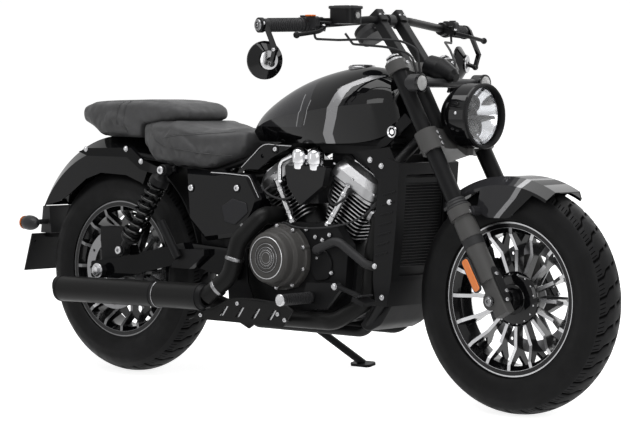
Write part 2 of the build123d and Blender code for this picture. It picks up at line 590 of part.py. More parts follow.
def frame():
    """Head tube, backbone, twin cradle, pivot plates and seat rails, joined as one weldment."""
    neck_low, neck_high = on_fork(HEAD_LOW, ahead=-STEM_BEHIND), on_fork(HEAD_HIGH, ahead=-STEM_BEHIND)
    weld = bar(neck_low, neck_high, HEAD_TUBE_RADIUS)
    neck_x, _, neck_z = HEAD_MIDDLE
    r = FRAME_TUBE_RADIUS
    spine = [(neck_x - 6, 0, neck_z - 4)] + [(x, 0, z) for x, z in BACKBONE]
    weld += tube(spine, BACKBONE_RADIUS, 90)
    cradle = [
        (neck_x + 8, 14, neck_z - 62), (1090, DOWN_TUBE_Y, 644), (1066, DOWN_TUBE_Y, 300),
        (960, LOWER_RAIL, 186), (560, LOWER_RAIL, 186), (530, LOWER_RAIL, 230),
    ]
    rail = [(640, 24, 668), (520, 70, 640), (420, SEAT_RAIL, 606), (180, SEAT_RAIL, 640), (20, SEAT_RAIL, 652)]
    weld += both_sides(tube(cradle, r, [40, 60, 60, 28]))
    weld += both_sides(tube(rail, RAIL_RADIUS, [60, 50, 60]))
    plate = [(488, 200), (560, 170), (598, 195), (585, 240), (556, 300), (548, 400), (500, 560), (462, 616),
             (410, 612), (455, 540), (470, 380)]
    weld += both_sides(slab(plate, PLATE_LOW, PLATE_HIGH))
    for x, z, radius in ((545, 192, r), (462, 590, r), (508, 470, r)):
        weld += across((x, z), radius, -PLATE_HIGH, PLATE_HIGH)
    weld += slab([(neck_x - 40, neck_z - 120), (neck_x - 4, neck_z - 78), (neck_x - 30, neck_z + 2),
                  (neck_x - 150, neck_z - 14), (neck_x - 120, neck_z - 60)], -16, 16)
    lock_plate = slab([(985, 680), (1029, 692), (1116, 758), (1092, 780), (1060, 752), (1056, 734), (1010, 708)], 70, 75)
    gusset = slab([(948, 676), (1060, 690), (1086, 644), (1082, 596), (1022, 596), (975, 650)], 94, 99)
    weld += both_sides(gusset)
    weld += both_sides(lock_plate) + across((1053, 730), 15, -79, -60) + across((1044, 704), 8, -71, 71)
    return weld + stand_bracket() - bar(neck_low, neck_high, STEM_RADIUS + RUNNING_GAP)


def under_tank_block():
    """Coils and throttle body under the tank, held up to the backbone by a post."""
    outline = [(786, 668), (905, 668), (985, 622), (1030, 602), (1050, 640), (1050, 670), (1016, 690), (786, 692)]
    (front_x, front_z), (rear_x, rear_z) = BACKBONE
    spine = bar((front_x, 0, front_z), (rear_x, 0, rear_z), BACKBONE_RADIUS)
    post = bar((880, 0, 690), (880, 0, 750), 10)
    return slab(outline, -64, 64, 6) + (post - spine)


def frame_covers():
    """Panel between seat and tank on each side, standing off the seat rail."""
    panel = slab([(536, 618), (624, 691), (735, 689), (650, 650), (604, 618)], 112, 118, 2)
    for x, z, radius in ((604, 680, 9), (620, 656, 6)):
        panel -= across((x, z), radius, 100, 130)
    rail = bar((640, 24, 668), (520, 70, 640), RAIL_RADIUS)
    return both_sides(panel + (across((585, 647), 7, 40, 113) - rail))


def stand_foot():
    """Middle of the side stand's foot, a little above the ground."""
    x, y = STAND_FOOT
    return Vector(x, y, stand_floor(y) + 6)


def stand_axis():
    """Direction of the side stand's pivot: turning about it folds the leg up and back."""
    return (stand_foot() - Vector(*STAND_PIVOT)).cross(Vector(*STAND_STOWED)).normalized()


def stand_bracket():
    """Two ears, the web that joins them to the frame, and the pivot pin."""
    pivot, axis = Vector(*STAND_PIVOT), stand_axis()
    inward = (Vector(0, -1, 0) + axis * axis.Y).normalized()
    plane = Plane(origin=pivot, x_dir=inward, z_dir=axis)
    ear = Circle(14) + Pos(17, 0) * Rectangle(34, 24)
    bracket = [extrude(plane.offset(low) * ear, 5) for low in (-STAND_EYE_HALF - 5.3, STAND_EYE_HALF + 0.3)]
    web = extrude(plane.offset(-STAND_EYE_HALF - 5.3) * (Pos(31, 0) * Rectangle(10, 24)), 2 * STAND_EYE_HALF + 10.6)
    pin = bar(pivot - axis * (STAND_EYE_HALF + 8), pivot + axis * (STAND_EYE_HALF + 8), STAND_PIN_RADIUS)
    return Part() + bracket + web + pin


def swingarm():
    """Two box arms joined by a cross tube, with slotted ends that hold the axle."""
    arm = [(-52, 282), (-52, 330), (60, 345), (330, 402), (528, 392), (545, 345), (528, 304), (330, 345), (60, 284)]
    arms = both_sides(slab(arm, SWINGARM_INNER, SWINGARM_OUTER, 8))
    cross = across((436, 352), 23, -SWINGARM_INNER - 1, SWINGARM_INNER + 1)
    lug = slab([(75, 338), (90, 385), (122, 385), (135, 350)], SWINGARM_INNER + 4, SWINGARM_OUTER)
    body = arms + cross + both_sides(lug)
    return body - across(REAR_AXLE, REAR_AXLE_RADIUS, -200, 200)


def rear_axle():
    """Rear axle with a nut at each end and spacers beside the hub."""
    half = REAR_AXLE_LENGTH / 2
    axle = across(REAR_AXLE, REAR_AXLE_RADIUS, -half + 4, half - 4)
    for sign in (-1, 1):
        nut = extrude(Plane.XZ.offset(-sign * SWINGARM_OUTER) * (Pos(*REAR_AXLE) * RegularPolygon(17, 6)), 20, dir=(0, sign, 0))
        axle += nut
    hub_end = REAR_HUB_WIDTH / 2 + SEAT_GAP
    axle += across(REAR_AXLE, 18, hub_end, SWINGARM_INNER)
    axle += across(REAR_AXLE, 18, -SWINGARM_INNER, -hub_end)
    return axle


def rear_calliper():
    """Calliper over the top of the rear disc, on a plate beside the right arm."""
    x, z = REAR_AXLE
    block = Pos(x + 10, REAR_DISC_Y - 4, z + 104) * Box(96, 46, 44)
    slot = across(REAR_AXLE, REAR_DISC_RADIUS + 5, REAR_DISC_Y - DISC_THICKNESS - 5, REAR_DISC_Y + 5)
    wheel_room = turned(REAR_AXLE, [(60, 0), (200, 0), (200, -68), (160, -52), (126, -24), (60, -24)])
    outline = [(x - 26, z - 24), (x + 26, z - 24), (x + 56, z + 92), (x - 38, z + 92)]
    plate = slab(outline, -SWINGARM_INNER + SEAT_GAP, -SWINGARM_INNER + 7)
    return block - slot - wheel_room + (plate - across(REAR_AXLE, 18 + SEAT_GAP, -200, 0))


SHOCK_TOP = (276.0, 608.0)
SHOCK_FOOT = (106.0, 371.0)
SHOCK_Y = 152.0
SHOCK_TURNS = 10
SHOCK_CORE = 19.0
STRUT_OUTER = 120.0


def rear_shocks():
    """Damper and coil spring turned as one outline, with an eye and a bolt at each end."""
    foot = Vector(SHOCK_FOOT[0], SHOCK_Y, SHOCK_FOOT[1])
    top = Vector(SHOCK_TOP[0], SHOCK_Y, SHOCK_TOP[1])
    length = (top - foot).length
    low, high = 52.0, length - 46.0
    pitch = (high - low) / SHOCK_TURNS
    points = [(0, 10), (10, 10), (10, low - 10), (28, low - 10), (28, low), (SHOCK_CORE, low)]
    edges = [Line(a, b) for a, b in zip(points, points[1:])]
    at = low
    for i in range(SHOCK_TURNS):
        middle = low + pitch * (i + 0.5)
        edges.append(Line((SHOCK_CORE, at), (SHOCK_CORE, middle - 4.5)))
        edges.append(ThreePointArc((SHOCK_CORE, middle - 4.5), (28, middle), (SHOCK_CORE, middle + 4.5)))
        at = middle + 4.5
    points = [(SHOCK_CORE, at), (SHOCK_CORE, high), (29, high), (29, high + 18), (17, high + 18),
              (10, length - 10), (0, length - 10), (0, 10)]
    edges += [Line(a, b) for a, b in zip(points, points[1:])]
    unit = revolve(Plane.XZ * make_face(edges), axis=Axis.Z)
    body = Plane(origin=foot, x_dir=(0, 1, 0), z_dir=top - foot) * unit
    out = Vector(0, 1, 0)
    body += [bar(p - out * 13, p + out * 13, 16) for p in (foot, top)]
    body += bar(foot - out * (SHOCK_Y - SWINGARM_OUTER), foot + out * 20, 8)
    body += bar(top - out * (SHOCK_Y - STRUT_OUTER), top + out * 20, 8)
    return both_sides(body)


TANK_STATIONS = [  # X, bottom Z, crease Z, top Z, bottom half width, crease half width
    (542, 702, 718, 757, 48, 62),
    (562, 697, 726, 779, 64, 86),
    (610, 695, 744, 812, 80, 112),
    (700, 695, 766, 857, 92, 138),
    (830, 695, 786, 895, 102, 148),
    (940, 699, 800, 903, 92, 134),
    (1000, 712, 806, 884, 74, 92),
    (1056, 742, 812, 858, 40, 66),
]


def tank_section(x, bottom, crease, top, half_bottom, half_crease):
    """Section of the tank: flat bottom, sloped sides to the crease and one arc over the top."""
    edges = [
        Line((half_crease, crease), (half_bottom, bottom)),
        Line((half_bottom, bottom), (-half_bottom, bottom)),
        Line((-half_bottom, bottom), (-half_crease, crease)),
        ThreePointArc((-half_crease, crease), (0, top), (half_crease, crease)),
    ]
    return Plane(origin=(x, 0, 0), x_dir=(0, 1, 0), z_dir=(1, 0, 0)) * make_face(edges)


def fuel_tank():
    """Teardrop tank, with a tunnel along its bottom for the backbone and a notch for the neck."""
    body = loft([tank_section(*row) for row in TANK_STATIONS])
    (front_x, front_z), (rear_x, rear_z) = BACKBONE
    slope = (front_z - rear_z) / (front_x - rear_x)
    half = BACKBONE_RADIUS + SEAT_GAP
    ends = [(x, rear_z + (x - rear_x) * slope + half * math.hypot(1, slope)) for x in (440, 1130)]
    tunnel = slab([(440, 560), *ends, (1130, 560)], -half, half)
    neck_x, _, neck_z = HEAD_MIDDLE
    behind = neck_x - HEAD_TUBE_RADIUS / COS_RAKE - 6
    slant = SIN_RAKE / COS_RAKE
    notch = slab([(behind + 100 * slant, neck_z - 100), (1200, neck_z - 100), (1200, neck_z + 170), (behind - 170 * slant, neck_z + 170)], -38, 38)
    sweep = slab([(1008, 960), (1012, 872), (1030, 838), (1090, 872), (1130, 960)], -100, 100)
    return body - tunnel - notch - sweep - tank_cap()


def tank_cap():
    """Flush filler cap."""
    return Pos(880, 0, 894) * Cylinder(34, 14, align=(Align.CENTER, Align.CENTER, Align.MIN))


def cushion(stations, corner):
    """Closed pad through sections given as X, half width, low Z and high Z."""
    faces = []
    for x, half, low, high in stations:
        section = Pos(0, (low + high) / 2) * RectangleRounded(2 * half, high - low, min(corner, (high - low) / 2 - 2))
        faces.append(Plane(origin=(x, 0, 0), x_dir=(0, 1, 0), z_dir=(1, 0, 0)) * section)
    return loft(faces, ruled=True)


RIDER_SEAT = [  # X, half width, low Z, high Z
    (133, 100, 700, 742), (152, 118, 664, 742), (200, 136, 634, 742), (292, 148, 622, 744), (340, 150, 620, 734),
    (400, 146, 620, 722), (455, 132, 622, 722), (506, 104, 650, 728), (530, 84, 660, 724),
]
SEAT_HOLLOW = [  # X and Z of the roof of the hollow over rails and fender
    (120, 690), (150, 677.3), (175, 665), (176, 651), (200, 646.7), (292, 633.7), (370, 622.7), (420, 620), (455, 632),
    (506, 650), (520, 654), (521, 677), (545, 679),
]
PILLION_SEAT = [(-182, 40, 744, 766), (-150, 72, 737, 786), (-100, 92, 724, 795), (-60, 100, 706, 798), (-20, 106, 702.3, 800),
                (131, 116, 702.3, 804)]
PILLION_FRONT = [(131, 116, 742.3, 804), (200, 118, 744.3, 802), (262, 112, 744.3, 794), (290, 98, 746, 784), (304, 78, 748, 774)]


def rider_seat():
    """Rider's seat, hollow below so that its skirts hang outside the rails."""
    first, last = SEAT_HOLLOW[0][0], SEAT_HOLLOW[-1][0]
    half = STRUT_OUTER + SEAT_GAP
    return cushion(RIDER_SEAT, 22) - slab([(first, 560), *SEAT_HOLLOW, (last, 560)], -half, half)


def pillion_seat():
    """Pillion pad: its rear rests on the fender and its front on the rider's seat."""
    return cushion(PILLION_SEAT, 18) + cushion(PILLION_FRONT, 18)


STRUT_INNER = SEAT_RAIL + RAIL_RADIUS + SEAT_GAP
REAR_FENDER_CENTRE = (8.0, 312.0)
REAR_FENDER_RADIUS = 390.0
REAR_FENDER_HALF = 91.0


def rear_fender():
    """Deep fender over the rear wheel, its skirt following the rim."""
    body = channel(REAR_FENDER_CENTRE, REAR_FENDER_RADIUS, REAR_FENDER_HALF, FENDER_WALL, 270, 40, 65, 154)
    trim = [(-420, 480), (-318, 480), (-233, 498), (-190, 520), (-116, 570), (-52, 590), (54, 586), (116, 566),
            (190, 520), (300, 420), (300, 300), (-420, 300)]
    return body - slab(trim, -120, 120)


def fender_struts():
    """Cover along each side of the fender, from the seat rail to the tail."""
    outline = [(-118, 652), (-75, 663), (102, 668), (150, 634), (240, 606), (286, 622), (286, 600), (240, 586), (140, 606), (86, 640), (-80, 640)]
    return both_sides(slab(outline, STRUT_INNER, STRUT_OUTER))


def side_covers():
    """Cover below the seat on each side."""
    outline = [(340, 612), (585, 604), (628, 540), (612, 500), (566, 432), (420, 412), (352, 470)]
    body = slab(outline, STRUT_INNER, 140)
    edges = body.faces().sort_by(Axis.Y)[-1].edges()
    return both_sides(chamfer(edges, 12))


def tail_lamp():
    """Lamp and the arm that carries it, the indicators and the plate, on the tail of the fender."""
    return slab([(-356, 398), (-346, 479.7), (-318, 479.7), (-309, 398)], -52, 52, 3)


PLATE = [(-392, 282), (-386, 282), (-352, 396), (-358, 396)]
PLATE_HALF = 88.0
PLATE_HOLE_SPACING = 146.0
PLATE_HOLE_RADIUS = 3.3


def plate_holder():
    """Blank plate carrier with two bolt holes, held by an arm on the lamp's bracket."""
    plate = slab(PLATE, -PLATE_HALF, PLATE_HALF)
    arm = slab([(-354, 397.7), (-312, 397.7), (-318, 384), (-356, 384)], -34, 34)
    body = plate + arm
    top = Vector(-352 - 3, 0, 396)
    down = Vector(-34, 0, -114).normalized()
    for sign in (-1, 1):
        spot = top + down * 24 + Vector(0, sign * PLATE_HOLE_SPACING / 2, 0)
        normal = Vector(-114, 0, 34).normalized()
        body -= bar(spot - normal * 20, spot + normal * 20, PLATE_HOLE_RADIUS)
    return body


def revolve_x(outline, y, z):
    """Solid of (X, radius) pairs turned round a line along X; a smooth curve runs through them."""
    curve = Spline(*outline)
    low, high = outline[0], outline[-1]
    face = make_face([Line((low[0], 0), low), curve, Line(high, (high[0], 0)), Line((high[0], 0), (low[0], 0))])
    return Pos(0, y, z) * revolve(Plane.XY * face, axis=Axis.X)


def rear_indicators():
    """Pod lamp on a stalk at each side of the tail lamp."""
    stalk = bar((-330, 52.3, 432), (-330, 134, 432), 8)
    pod = revolve_x([(-350, 4), (-346, 12), (-330, 21), (-310, 22), (-292, 16), (-282, 6)], 132, 432)
    return both_sides(stalk + pod)


# ------------------------------------------------------------------------------------- engine
def cylinder_plane(sign):
    """Plane at the crankshaft whose normal runs up a cylinder; sign +1 is the front one."""
    angle = math.radians(V_HALF_ANGLE)
    up = (sign * math.sin(angle), 0, math.cos(angle))
    return Plane(origin=(CRANK[0], 0, CRANK[1]), x_dir=(math.cos(angle), 0, -sign * math.sin(angle)), z_dir=up)


def slice_box(plane, x_low, x_high, y_low, y_high, low, high, corner=0.0):
    """Block in a cylinder's own frame."""
    section = Pos((x_low + x_high) / 2, (y_low + y_high) / 2) * (
        RectangleRounded(x_high - x_low, y_high - y_low, corner) if corner else Rectangle(x_high - x_low, y_high - y_low)
    )
    return extrude(plane.offset(low) * section, high - low)


FIN_START = {1: 130.0, -1: 140.0}
HEAD_THICKNESS = 12.0
COVER_HEIGHT = 58.0
DECK = 101.7  # from the crankshaft to the foot of each barrel
CAM_TOP = 476.0


def cylinders():
    """Two barrels with their fins, and the tube of each one's push rods."""
    parts = []
    for sign in (1, -1):
        plane = cylinder_plane(sign)
        start = FIN_START[sign]
        top = start + FIN_COUNT * FIN_PITCH
        barrel = extrude(plane.offset(102) * Circle(BARREL_RADIUS), top - 102)
        fins = []
        for i in range(FIN_COUNT):
            low = start + i * FIN_PITCH
            inner = 46 + 3.0 * i
            front, back = (FIN_HALF_LONG, min(inner, FIN_HALF_LONG)) if sign > 0 else (min(inner, FIN_HALF_LONG), FIN_HALF_LONG)
            fins.append(slice_box(plane, -back, front, -FIN_HALF_WIDE, FIN_HALF_WIDE, low, low + FIN_THICKNESS, 18))
        parts.append(barrel + fins)
    return Part() + parts


def rocker_covers():
    """Head and domed rocker cover on each cylinder, with the push rod tubes."""
    parts = []
    for sign in (1, -1):
        plane = cylinder_plane(sign)
        low = FIN_START[sign] + FIN_COUNT * FIN_PITCH
        rim = low + HEAD_THICKNESS
        head = slice_box(plane, -84, 84, -76, 76, low, rim, 26)
        dome = loft([
            plane.offset(rim) * RectangleRounded(184, 170, 40),
            plane.offset(rim + 0.45 * COVER_HEIGHT) * RectangleRounded(180, 164, 44),
            plane.offset(rim + 0.8 * COVER_HEIGHT) * RectangleRounded(160, 142, 48),
            plane.offset(rim + COVER_HEIGHT) * RectangleRounded(122, 102, 46),
        ], ruled=True)
        foot = plane.origin + plane.z_dir * 118 + Vector(0, -95, 0)
        rod = bar(foot, plane.origin + plane.z_dir * (low + 20) + Vector(0, -84, 0), 9)
        rod -= Pos(CRANK[0], 0, CAM_TOP - 100) * Box(600, 600, 200)
        parts.append(head + dome + rod)
    return Part() + parts


def crankcase():
    """Crankcase with the deck of each cylinder and the cam case that the push rods stand on."""
    outline = [(566, 300), (580, 430), (640, 478), (920, 478), (938, 400), (925, 280), (862, 212), (840, 200.3), (640, 200.3), (575, 236)]
    body = slab(outline, -CRANKCASE_HALF, CRANKCASE_HALF, 9)
    decks = [slice_box(cylinder_plane(sign), -68, 68, -70, 70, 40, DECK + 20, 20) for sign in (1, -1)]
    body += decks
    for sign in (1, -1):
        body -= slice_box(cylinder_plane(sign), -300, 300, -200, 200, DECK, 500)
    cam = slab([(610, 300), (616, 420), (680, CAM_TOP), (880, CAM_TOP), (925, 420), (915, 300), (840, 240), (660, 240)],
               -CRANKCASE_HALF - CAM_DEPTH, -CRANKCASE_HALF + 2, 14)
    return body + cam


def engine_covers():
    """Round clutch cover in steps on the right, and the alternator cover on the left."""
    case_face = CRANKCASE_HALF + CAM_DEPTH
    steps = [(88, 20), (80, 48), (CLUTCH_RADIUS, CLUTCH_OUT - case_face)]
    cover = None
    for radius, out in steps:
        disc = across(CLUTCH_CENTRE, radius, -case_face - out, -case_face)
        cover = disc if cover is None else cover + disc
    left = across(CRANK, 88, CRANKCASE_HALF, CRANKCASE_HALF + 34) + across(CRANK, 70, CRANKCASE_HALF + 34, CRANKCASE_HALF + 44)
    front_pulley = across(FRONT_PULLEY, FRONT_PULLEY_RADIUS, CRANKCASE_HALF, PULLEY_LOW + BELT_WIDTH)
    return Part() + [cover, left, front_pulley - across(CRANK, 89, 0, 200)]


def air_box():
    """Intake in the V: a neck with a stub to each head, and a cover on the right with two round domes."""
    body = slab([(757, 530), (803, 530), (803, 648), (757, 648)], -90, 30)
    body += bar((780, 0, 616), (850, 0, 616), 6) - rocker_covers()
    body += bar((780, 0, 625), (708, 0, 625), 6) - rocker_covers()
    body += slab([(754, 523), (836, 579), (849, 632), (698, 632), (709, 575)], -112, -90, 5)
    for x, z in ((740, 664), (808, 660)):
        body += Pos(x, -101, 631) * Cylinder(12, z - 631, align=(Align.CENTER, Align.CENTER, Align.MIN))
        body += Pos(x, -101, z) * Sphere(18)
    foot = (668, -98, 590)
    body += tube([foot, (668, -98, 640), (736, -100, 666)], 6.5, 24)
    return body + bar((668, -76.3, 590), foot, 6.5)


SHROUD_WALL = 5.0
DOWN_TUBE_Y = 108.0
RADIATOR_HALF = DOWN_TUBE_Y - FRAME_TUBE_RADIUS - SEAT_GAP
SHROUD_HALF = DOWN_TUBE_Y + FRAME_TUBE_RADIUS + SEAT_GAP + SHROUD_WALL


def radiator():
    """Core with header tanks, between the down tubes."""
    return slab([(1044, 352), (1074, 352), (1092, 612), (1062, 612)], -RADIATOR_HALF, RADIATOR_HALF)


def radiator_shroud():
    """Cover round the radiator and the down tubes: side cheeks and a front frame, open before the core."""
    outline = [(1040, 266), (1078, 266), (1092, 333), (1107, 477), (1118, 648), (1080, 662), (1050, 650), (1034, 480), (1030, 333)]
    inside = [(1000, 200), (1064, 200), (1086, 333), (1101, 477), (1112, 642), (1112, 700), (1000, 700)]
    window = [(1000, 346), (1150, 346), (1150, 618), (1000, 618)]
    body = slab(outline, -SHROUD_HALF, SHROUD_HALF)
    body -= slab(inside, -SHROUD_HALF + SHROUD_WALL, SHROUD_HALF - SHROUD_WALL)
    return body - slab(window, -RADIATOR_HALF, RADIATOR_HALF)


def exhaust_pipes():
    """Pipe of each cylinder: the rear one sweeps down the side, the front one runs down and under."""
    rear = tube([(648, -72.3, 492), (648, -146, 492), (600, -190, 424), (574, -198, 322), (500, -215, 262)], PIPE_RADIUS, [26, 50, 70])
    front = tube(
        [(953.9, -48, 506.7), (986.8, -48, 487.7), (990, -80, 400), (984, -86, 272), (900, -132, 214), (640, -140, 212), (574, -160, 222), (492, -178, 248)],
        PIPE_RADIUS - 2, [24, 60, 60, 60, 60, 60],
    )
    return rear + front - muffler_form()


MUFFLER_FRONT = (488.0, -216.0, 262.0)
MUFFLER_BACK = (-100.0, -222.0, 252.0)


def muffler_form():
    """The can before its tail is opened."""
    return bar(MUFFLER_FRONT, MUFFLER_BACK, MUFFLER_RADIUS)


def muffler():
    """Long can with a slash-cut, open tail."""
    front, back = Vector(*MUFFLER_FRONT), Vector(*MUFFLER_BACK)
    core = bar(back, back + (front - back).normalized() * 120, MUFFLER_RADIUS - 4)
    cutter = slab([(-60, 180), (-200, 180), (-200, 320), (-100, 320)], -300, -100)
    return muffler_form() - core - cutter


def heat_shield():
    """Guard over the joint of the pipes, cut by four slanted slots, on two studs."""
    outline = [(423, 197), (538, 244), (594, 264), (779, 259), (815, 245), (780, 197)]
    body = slab(outline, -204, -200, 4)
    for x in (540, 600, 660, 720):
        body -= slab([(x, 212), (x + 14, 212), (x + 34, 240), (x + 20, 240)], -210, -190)
    studs = [across((x, z), 7, -202, -145) for x, z in ((760, 213), (626, 216))]
    return body + [stud - exhaust_pipes() for stud in studs]


def coolant_hoses():
    """Hose from the pump on the right of the case to the back of the radiator."""
    face = -CRANKCASE_HALF - CAM_DEPTH - SEAT_GAP
    path = [(826, face, 404), (826, -131, 404), (908, -133, 436), (956, -127, 404), (1004, -124, 374), (1030, -96, 366), (1056, -78, 366)]
    return tube(path, 12, [14, 40, 40, 24, 16]) - radiator()


CABLE_RADIUS = 3.2
CABLES = [  # corner points, then the radius of each bend: throttle cable, brake hose, left harness
    ([(958, -292, 998.6), (962, -290, 974), (1000, -240, 972), (1034, -150, 976), (1070, -70, 974), (1106, -42, 952),
      (1116, -40, 880), (1100, -40, 830)], [8, 20, 40, 60, 30, 30]),
    ([(1000, -214, 990), (1012, -196, 962), (1046, -96, 956), (1100, -58, 938), (1118, -56, 880), (1104, -54, 826)],
     [8, 60, 40, 40]),
    ([(958, 292, 998.6), (962, 290, 974), (1025, 180, 974), (1106, 100, 950), (1160, 54, 916), (1154, 50, 880),
      (1140, 48, 836)], [8, 50, 60, 20, 8]),
]


def control_cables():
    """Cables and hoses from the bar down between the fork legs."""
    return Part() + [tube(points, CABLE_RADIUS, bends) for points, bends in CABLES]


PEG = (822.0, 276.0)
PEG_Y = (136.0, 268.0)
PASSENGER_PEG = [(336.0, 160.0, 360.0), (275.0, 168.0, 462.0)]


def control_side(reach):
    """Peg, its bracket and stay, and a foot lever, drawn on the left; the stay reaches in to the engine."""
    x, z = PEG
    low, high = PEG_Y
    bracket = slab(
        [(x - 30, z - 36), (x + 49, z - 30), (x + 108, z + 34), (x + 84, z + 44), (x - 20, z + 39), (x - 36, z - 8)], low - 12, low
    )
    stay = across((x + 4, z - 26), 11, reach + SEAT_GAP, low - 11)
    peg = across((x, z), 13, low - 1, high)
    pedal = tube([(x + 96, low + 8, z + 36), (x + 190, low + 34, z + 20), (x + 236, low + 56, z + 6)], 7, 60)
    pad = Pos(x + 236, low + 60, z + 8) * Rot(0, 20, 0) * Box(40, 56, 12)
    pivot = across((x + 94, z + 36), 12, low - 1, low + 16)
    return bracket + stay + peg + pedal + pad + pivot


def foot_controls():
    """Rider's pegs with the brake pedal on the right and the shift lever on the left."""
    return Part() + [control_side(CRANKCASE_HALF), mirror(control_side(CRANKCASE_HALF + CAM_DEPTH), about=Plane.XZ)]


def passenger_pegs():
    """Folded passenger pegs, each on a hanger."""
    inner, outer = PASSENGER_PEG
    hanger = slab([(300, 330), (372, 330), (430, 372), (430, 388), (330, 384)], SWINGARM_OUTER + SEAT_GAP, SWINGARM_OUTER + 22)
    return both_sides(bar(inner, outer, 12) + hanger)


def stand_floor(y):
    """Height of the ground below a point, in the upright machine's frame, once the machine leans."""
    drop = TYRE_CROWN * (1 - math.cos(math.radians(LEAN))) / math.cos(math.radians(LEAN))
    return y * TAN_LEAN - drop


def side_stand():
    """Leg with a pivot eye at the top and a foot plate that lies flat on the ground."""
    pivot, foot, axis = Vector(*STAND_PIVOT), stand_foot(), stand_axis()
    leg = bar(pivot + (foot - pivot).normalized() * 16, foot, STAND_RADIUS)
    eye = bar(pivot - axis * STAND_EYE_HALF, pivot + axis * STAND_EYE_HALF, 17)
    ground = Plane(origin=(foot.X, foot.Y, foot.Z - 6), x_dir=(1, 0, 0), z_dir=(0, -TAN_LEAN, 1))
    pad = extrude(ground * RectangleRounded(74, 40, 12), 8)
    below = ground * Box(400, 400, 60, align=(Align.CENTER, Align.CENTER, Align.MAX))
    hole = bar(pivot - axis * 20, pivot + axis * 20, STAND_PIN_RADIUS + RUNNING_GAP)
    return leg + eye + pad - below - hole


def nodes():
    """Every piece of the upright machine by name."""
    return {
        "front_tyre": tyre(FRONT_AXLE, FRONT_TYRE_RADIUS, FRONT_TYRE_WIDTH, FRONT_RIM_WIDTH),
        "front_wheel": wheel(FRONT_AXLE, FRONT_RIM_WIDTH, FRONT_HUB_WIDTH, FRONT_AXLE_RADIUS, 1, FRONT_DISC_Y),
        "front_brake_disc": brake_disc(FRONT_AXLE, FRONT_DISC_RADIUS, FRONT_DISC_Y, 22),
        "rear_tyre": tyre(REAR_AXLE, REAR_TYRE_RADIUS, REAR_TYRE_WIDTH, REAR_RIM_WIDTH),
        "rear_wheel": wheel(REAR_AXLE, REAR_RIM_WIDTH, REAR_HUB_WIDTH, REAR_AXLE_RADIUS, -1, -REAR_DISC_Y),
        "rear_brake_disc": brake_disc(REAR_AXLE, REAR_DISC_RADIUS, REAR_DISC_Y - DISC_THICKNESS, 22),
        "rear_pulley": rear_pulley(),
        "drive_belt": drive_belt(),
        "fork_tubes": fork_tubes(),
        "fork_lowers": fork_lowers(),
        "front_axle": front_axle(),
        "lower_clamp": lower_clamp(),
        "upper_clamp": upper_clamp(),
        "bar_risers": bar_risers(),
        "handlebar": handlebar(),
        "grips": grips(),
        "switch_housings": switch_housings(),
        "hand_levers": levers(),
        "brake_reservoir": brake_reservoir(),
        "mirrors": mirrors(),
        "headlamp_bucket": headlamp_bucket(),
        "headlamp_lens": headlamp_lens(),
        "instrument": instrument(),
        "lamp_nacelle": lamp_nacelle(),
        "control_cables": control_cables(),
        "front_indicators": front_indicators(),
        "front_fender": front_fender(),
        "front_calliper": front_calliper(),
        "frame": frame(),
        "under_tank_block": under_tank_block(),
        "frame_covers": frame_covers(),
        "swingarm": swingarm(),
        "rear_axle": rear_axle(),
        "rear_calliper": rear_calliper(),
        "rear_shocks": rear_shocks(),
        "fuel_tank": fuel_tank(),
        "tank_cap": tank_cap(),
        "rider_seat": rider_seat(),
        "pillion_seat": pillion_seat(),
        "rear_fender": rear_fender(),
        "fender_struts": fender_struts(),
        "side_covers": side_covers(),
        "tail_lamp": tail_lamp(),
        "plate_holder": plate_holder(),
        "rear_indicators": rear_indicators(),
        "crankcase": crankcase(),
        "cylinders": cylinders(),
        "rocker_covers": rocker_covers(),
        "engine_covers": engine_covers(),
        "air_box": air_box(),
        "radiator": radiator(),
        "radiator_shroud": radiator_shroud(),
        "exhaust_pipes": exhaust_pipes(),
        "muffler": muffler(),
        "heat_shield": heat_shield(),
        "coolant_hoses": coolant_hoses(),
        "foot_controls": foot_controls(),
        "passenger_pegs": passenger_pegs(),
        "side_stand": side_stand(),
    }


# ------------------------------------------------------------------------------------- placing and writing
def placing(pieces):
    """Location that leans the machine and puts its box's footprint middle at the origin, on the ground."""
    lean = Rot(-LEAN, 0, 0)
    box = Compound(children=[lean * piece for piece in pieces.values()]).bounding_box()
    low, high = box.min, box.max
    return Pos(-(low.X + high.X) / 2, -(low.Y + high.Y) / 2, -low.Z) * lean


PIECES = nodes()
PLACE = placing(PIECES)
os.makedirs("parts", exist_ok=True)
for name, piece in PIECES.items():
    export_step(PLACE * piece, f"parts/{name}.step")
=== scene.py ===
import json
import math

import bpy
import numpy as np
from mathutils import Matrix, Vector
from mathutils.bvhtree import BVHTree


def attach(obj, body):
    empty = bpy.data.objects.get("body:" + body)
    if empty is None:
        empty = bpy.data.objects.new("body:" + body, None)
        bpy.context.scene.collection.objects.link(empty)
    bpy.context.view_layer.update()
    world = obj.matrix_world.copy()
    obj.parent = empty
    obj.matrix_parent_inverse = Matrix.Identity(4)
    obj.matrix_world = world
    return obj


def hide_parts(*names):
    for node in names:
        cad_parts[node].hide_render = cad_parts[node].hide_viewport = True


bl_info = {
    "name": "Cruiser motorcycle",
    "version": (1, 0, 0),
    "blender": (4, 5, 0),
    "location": "View3D > Sidebar > Cruiser",
    "description": "Dresses the packed frame of a parked cruiser motorcycle with its surfaces, trim and finishes",
    "category": "Object",
}

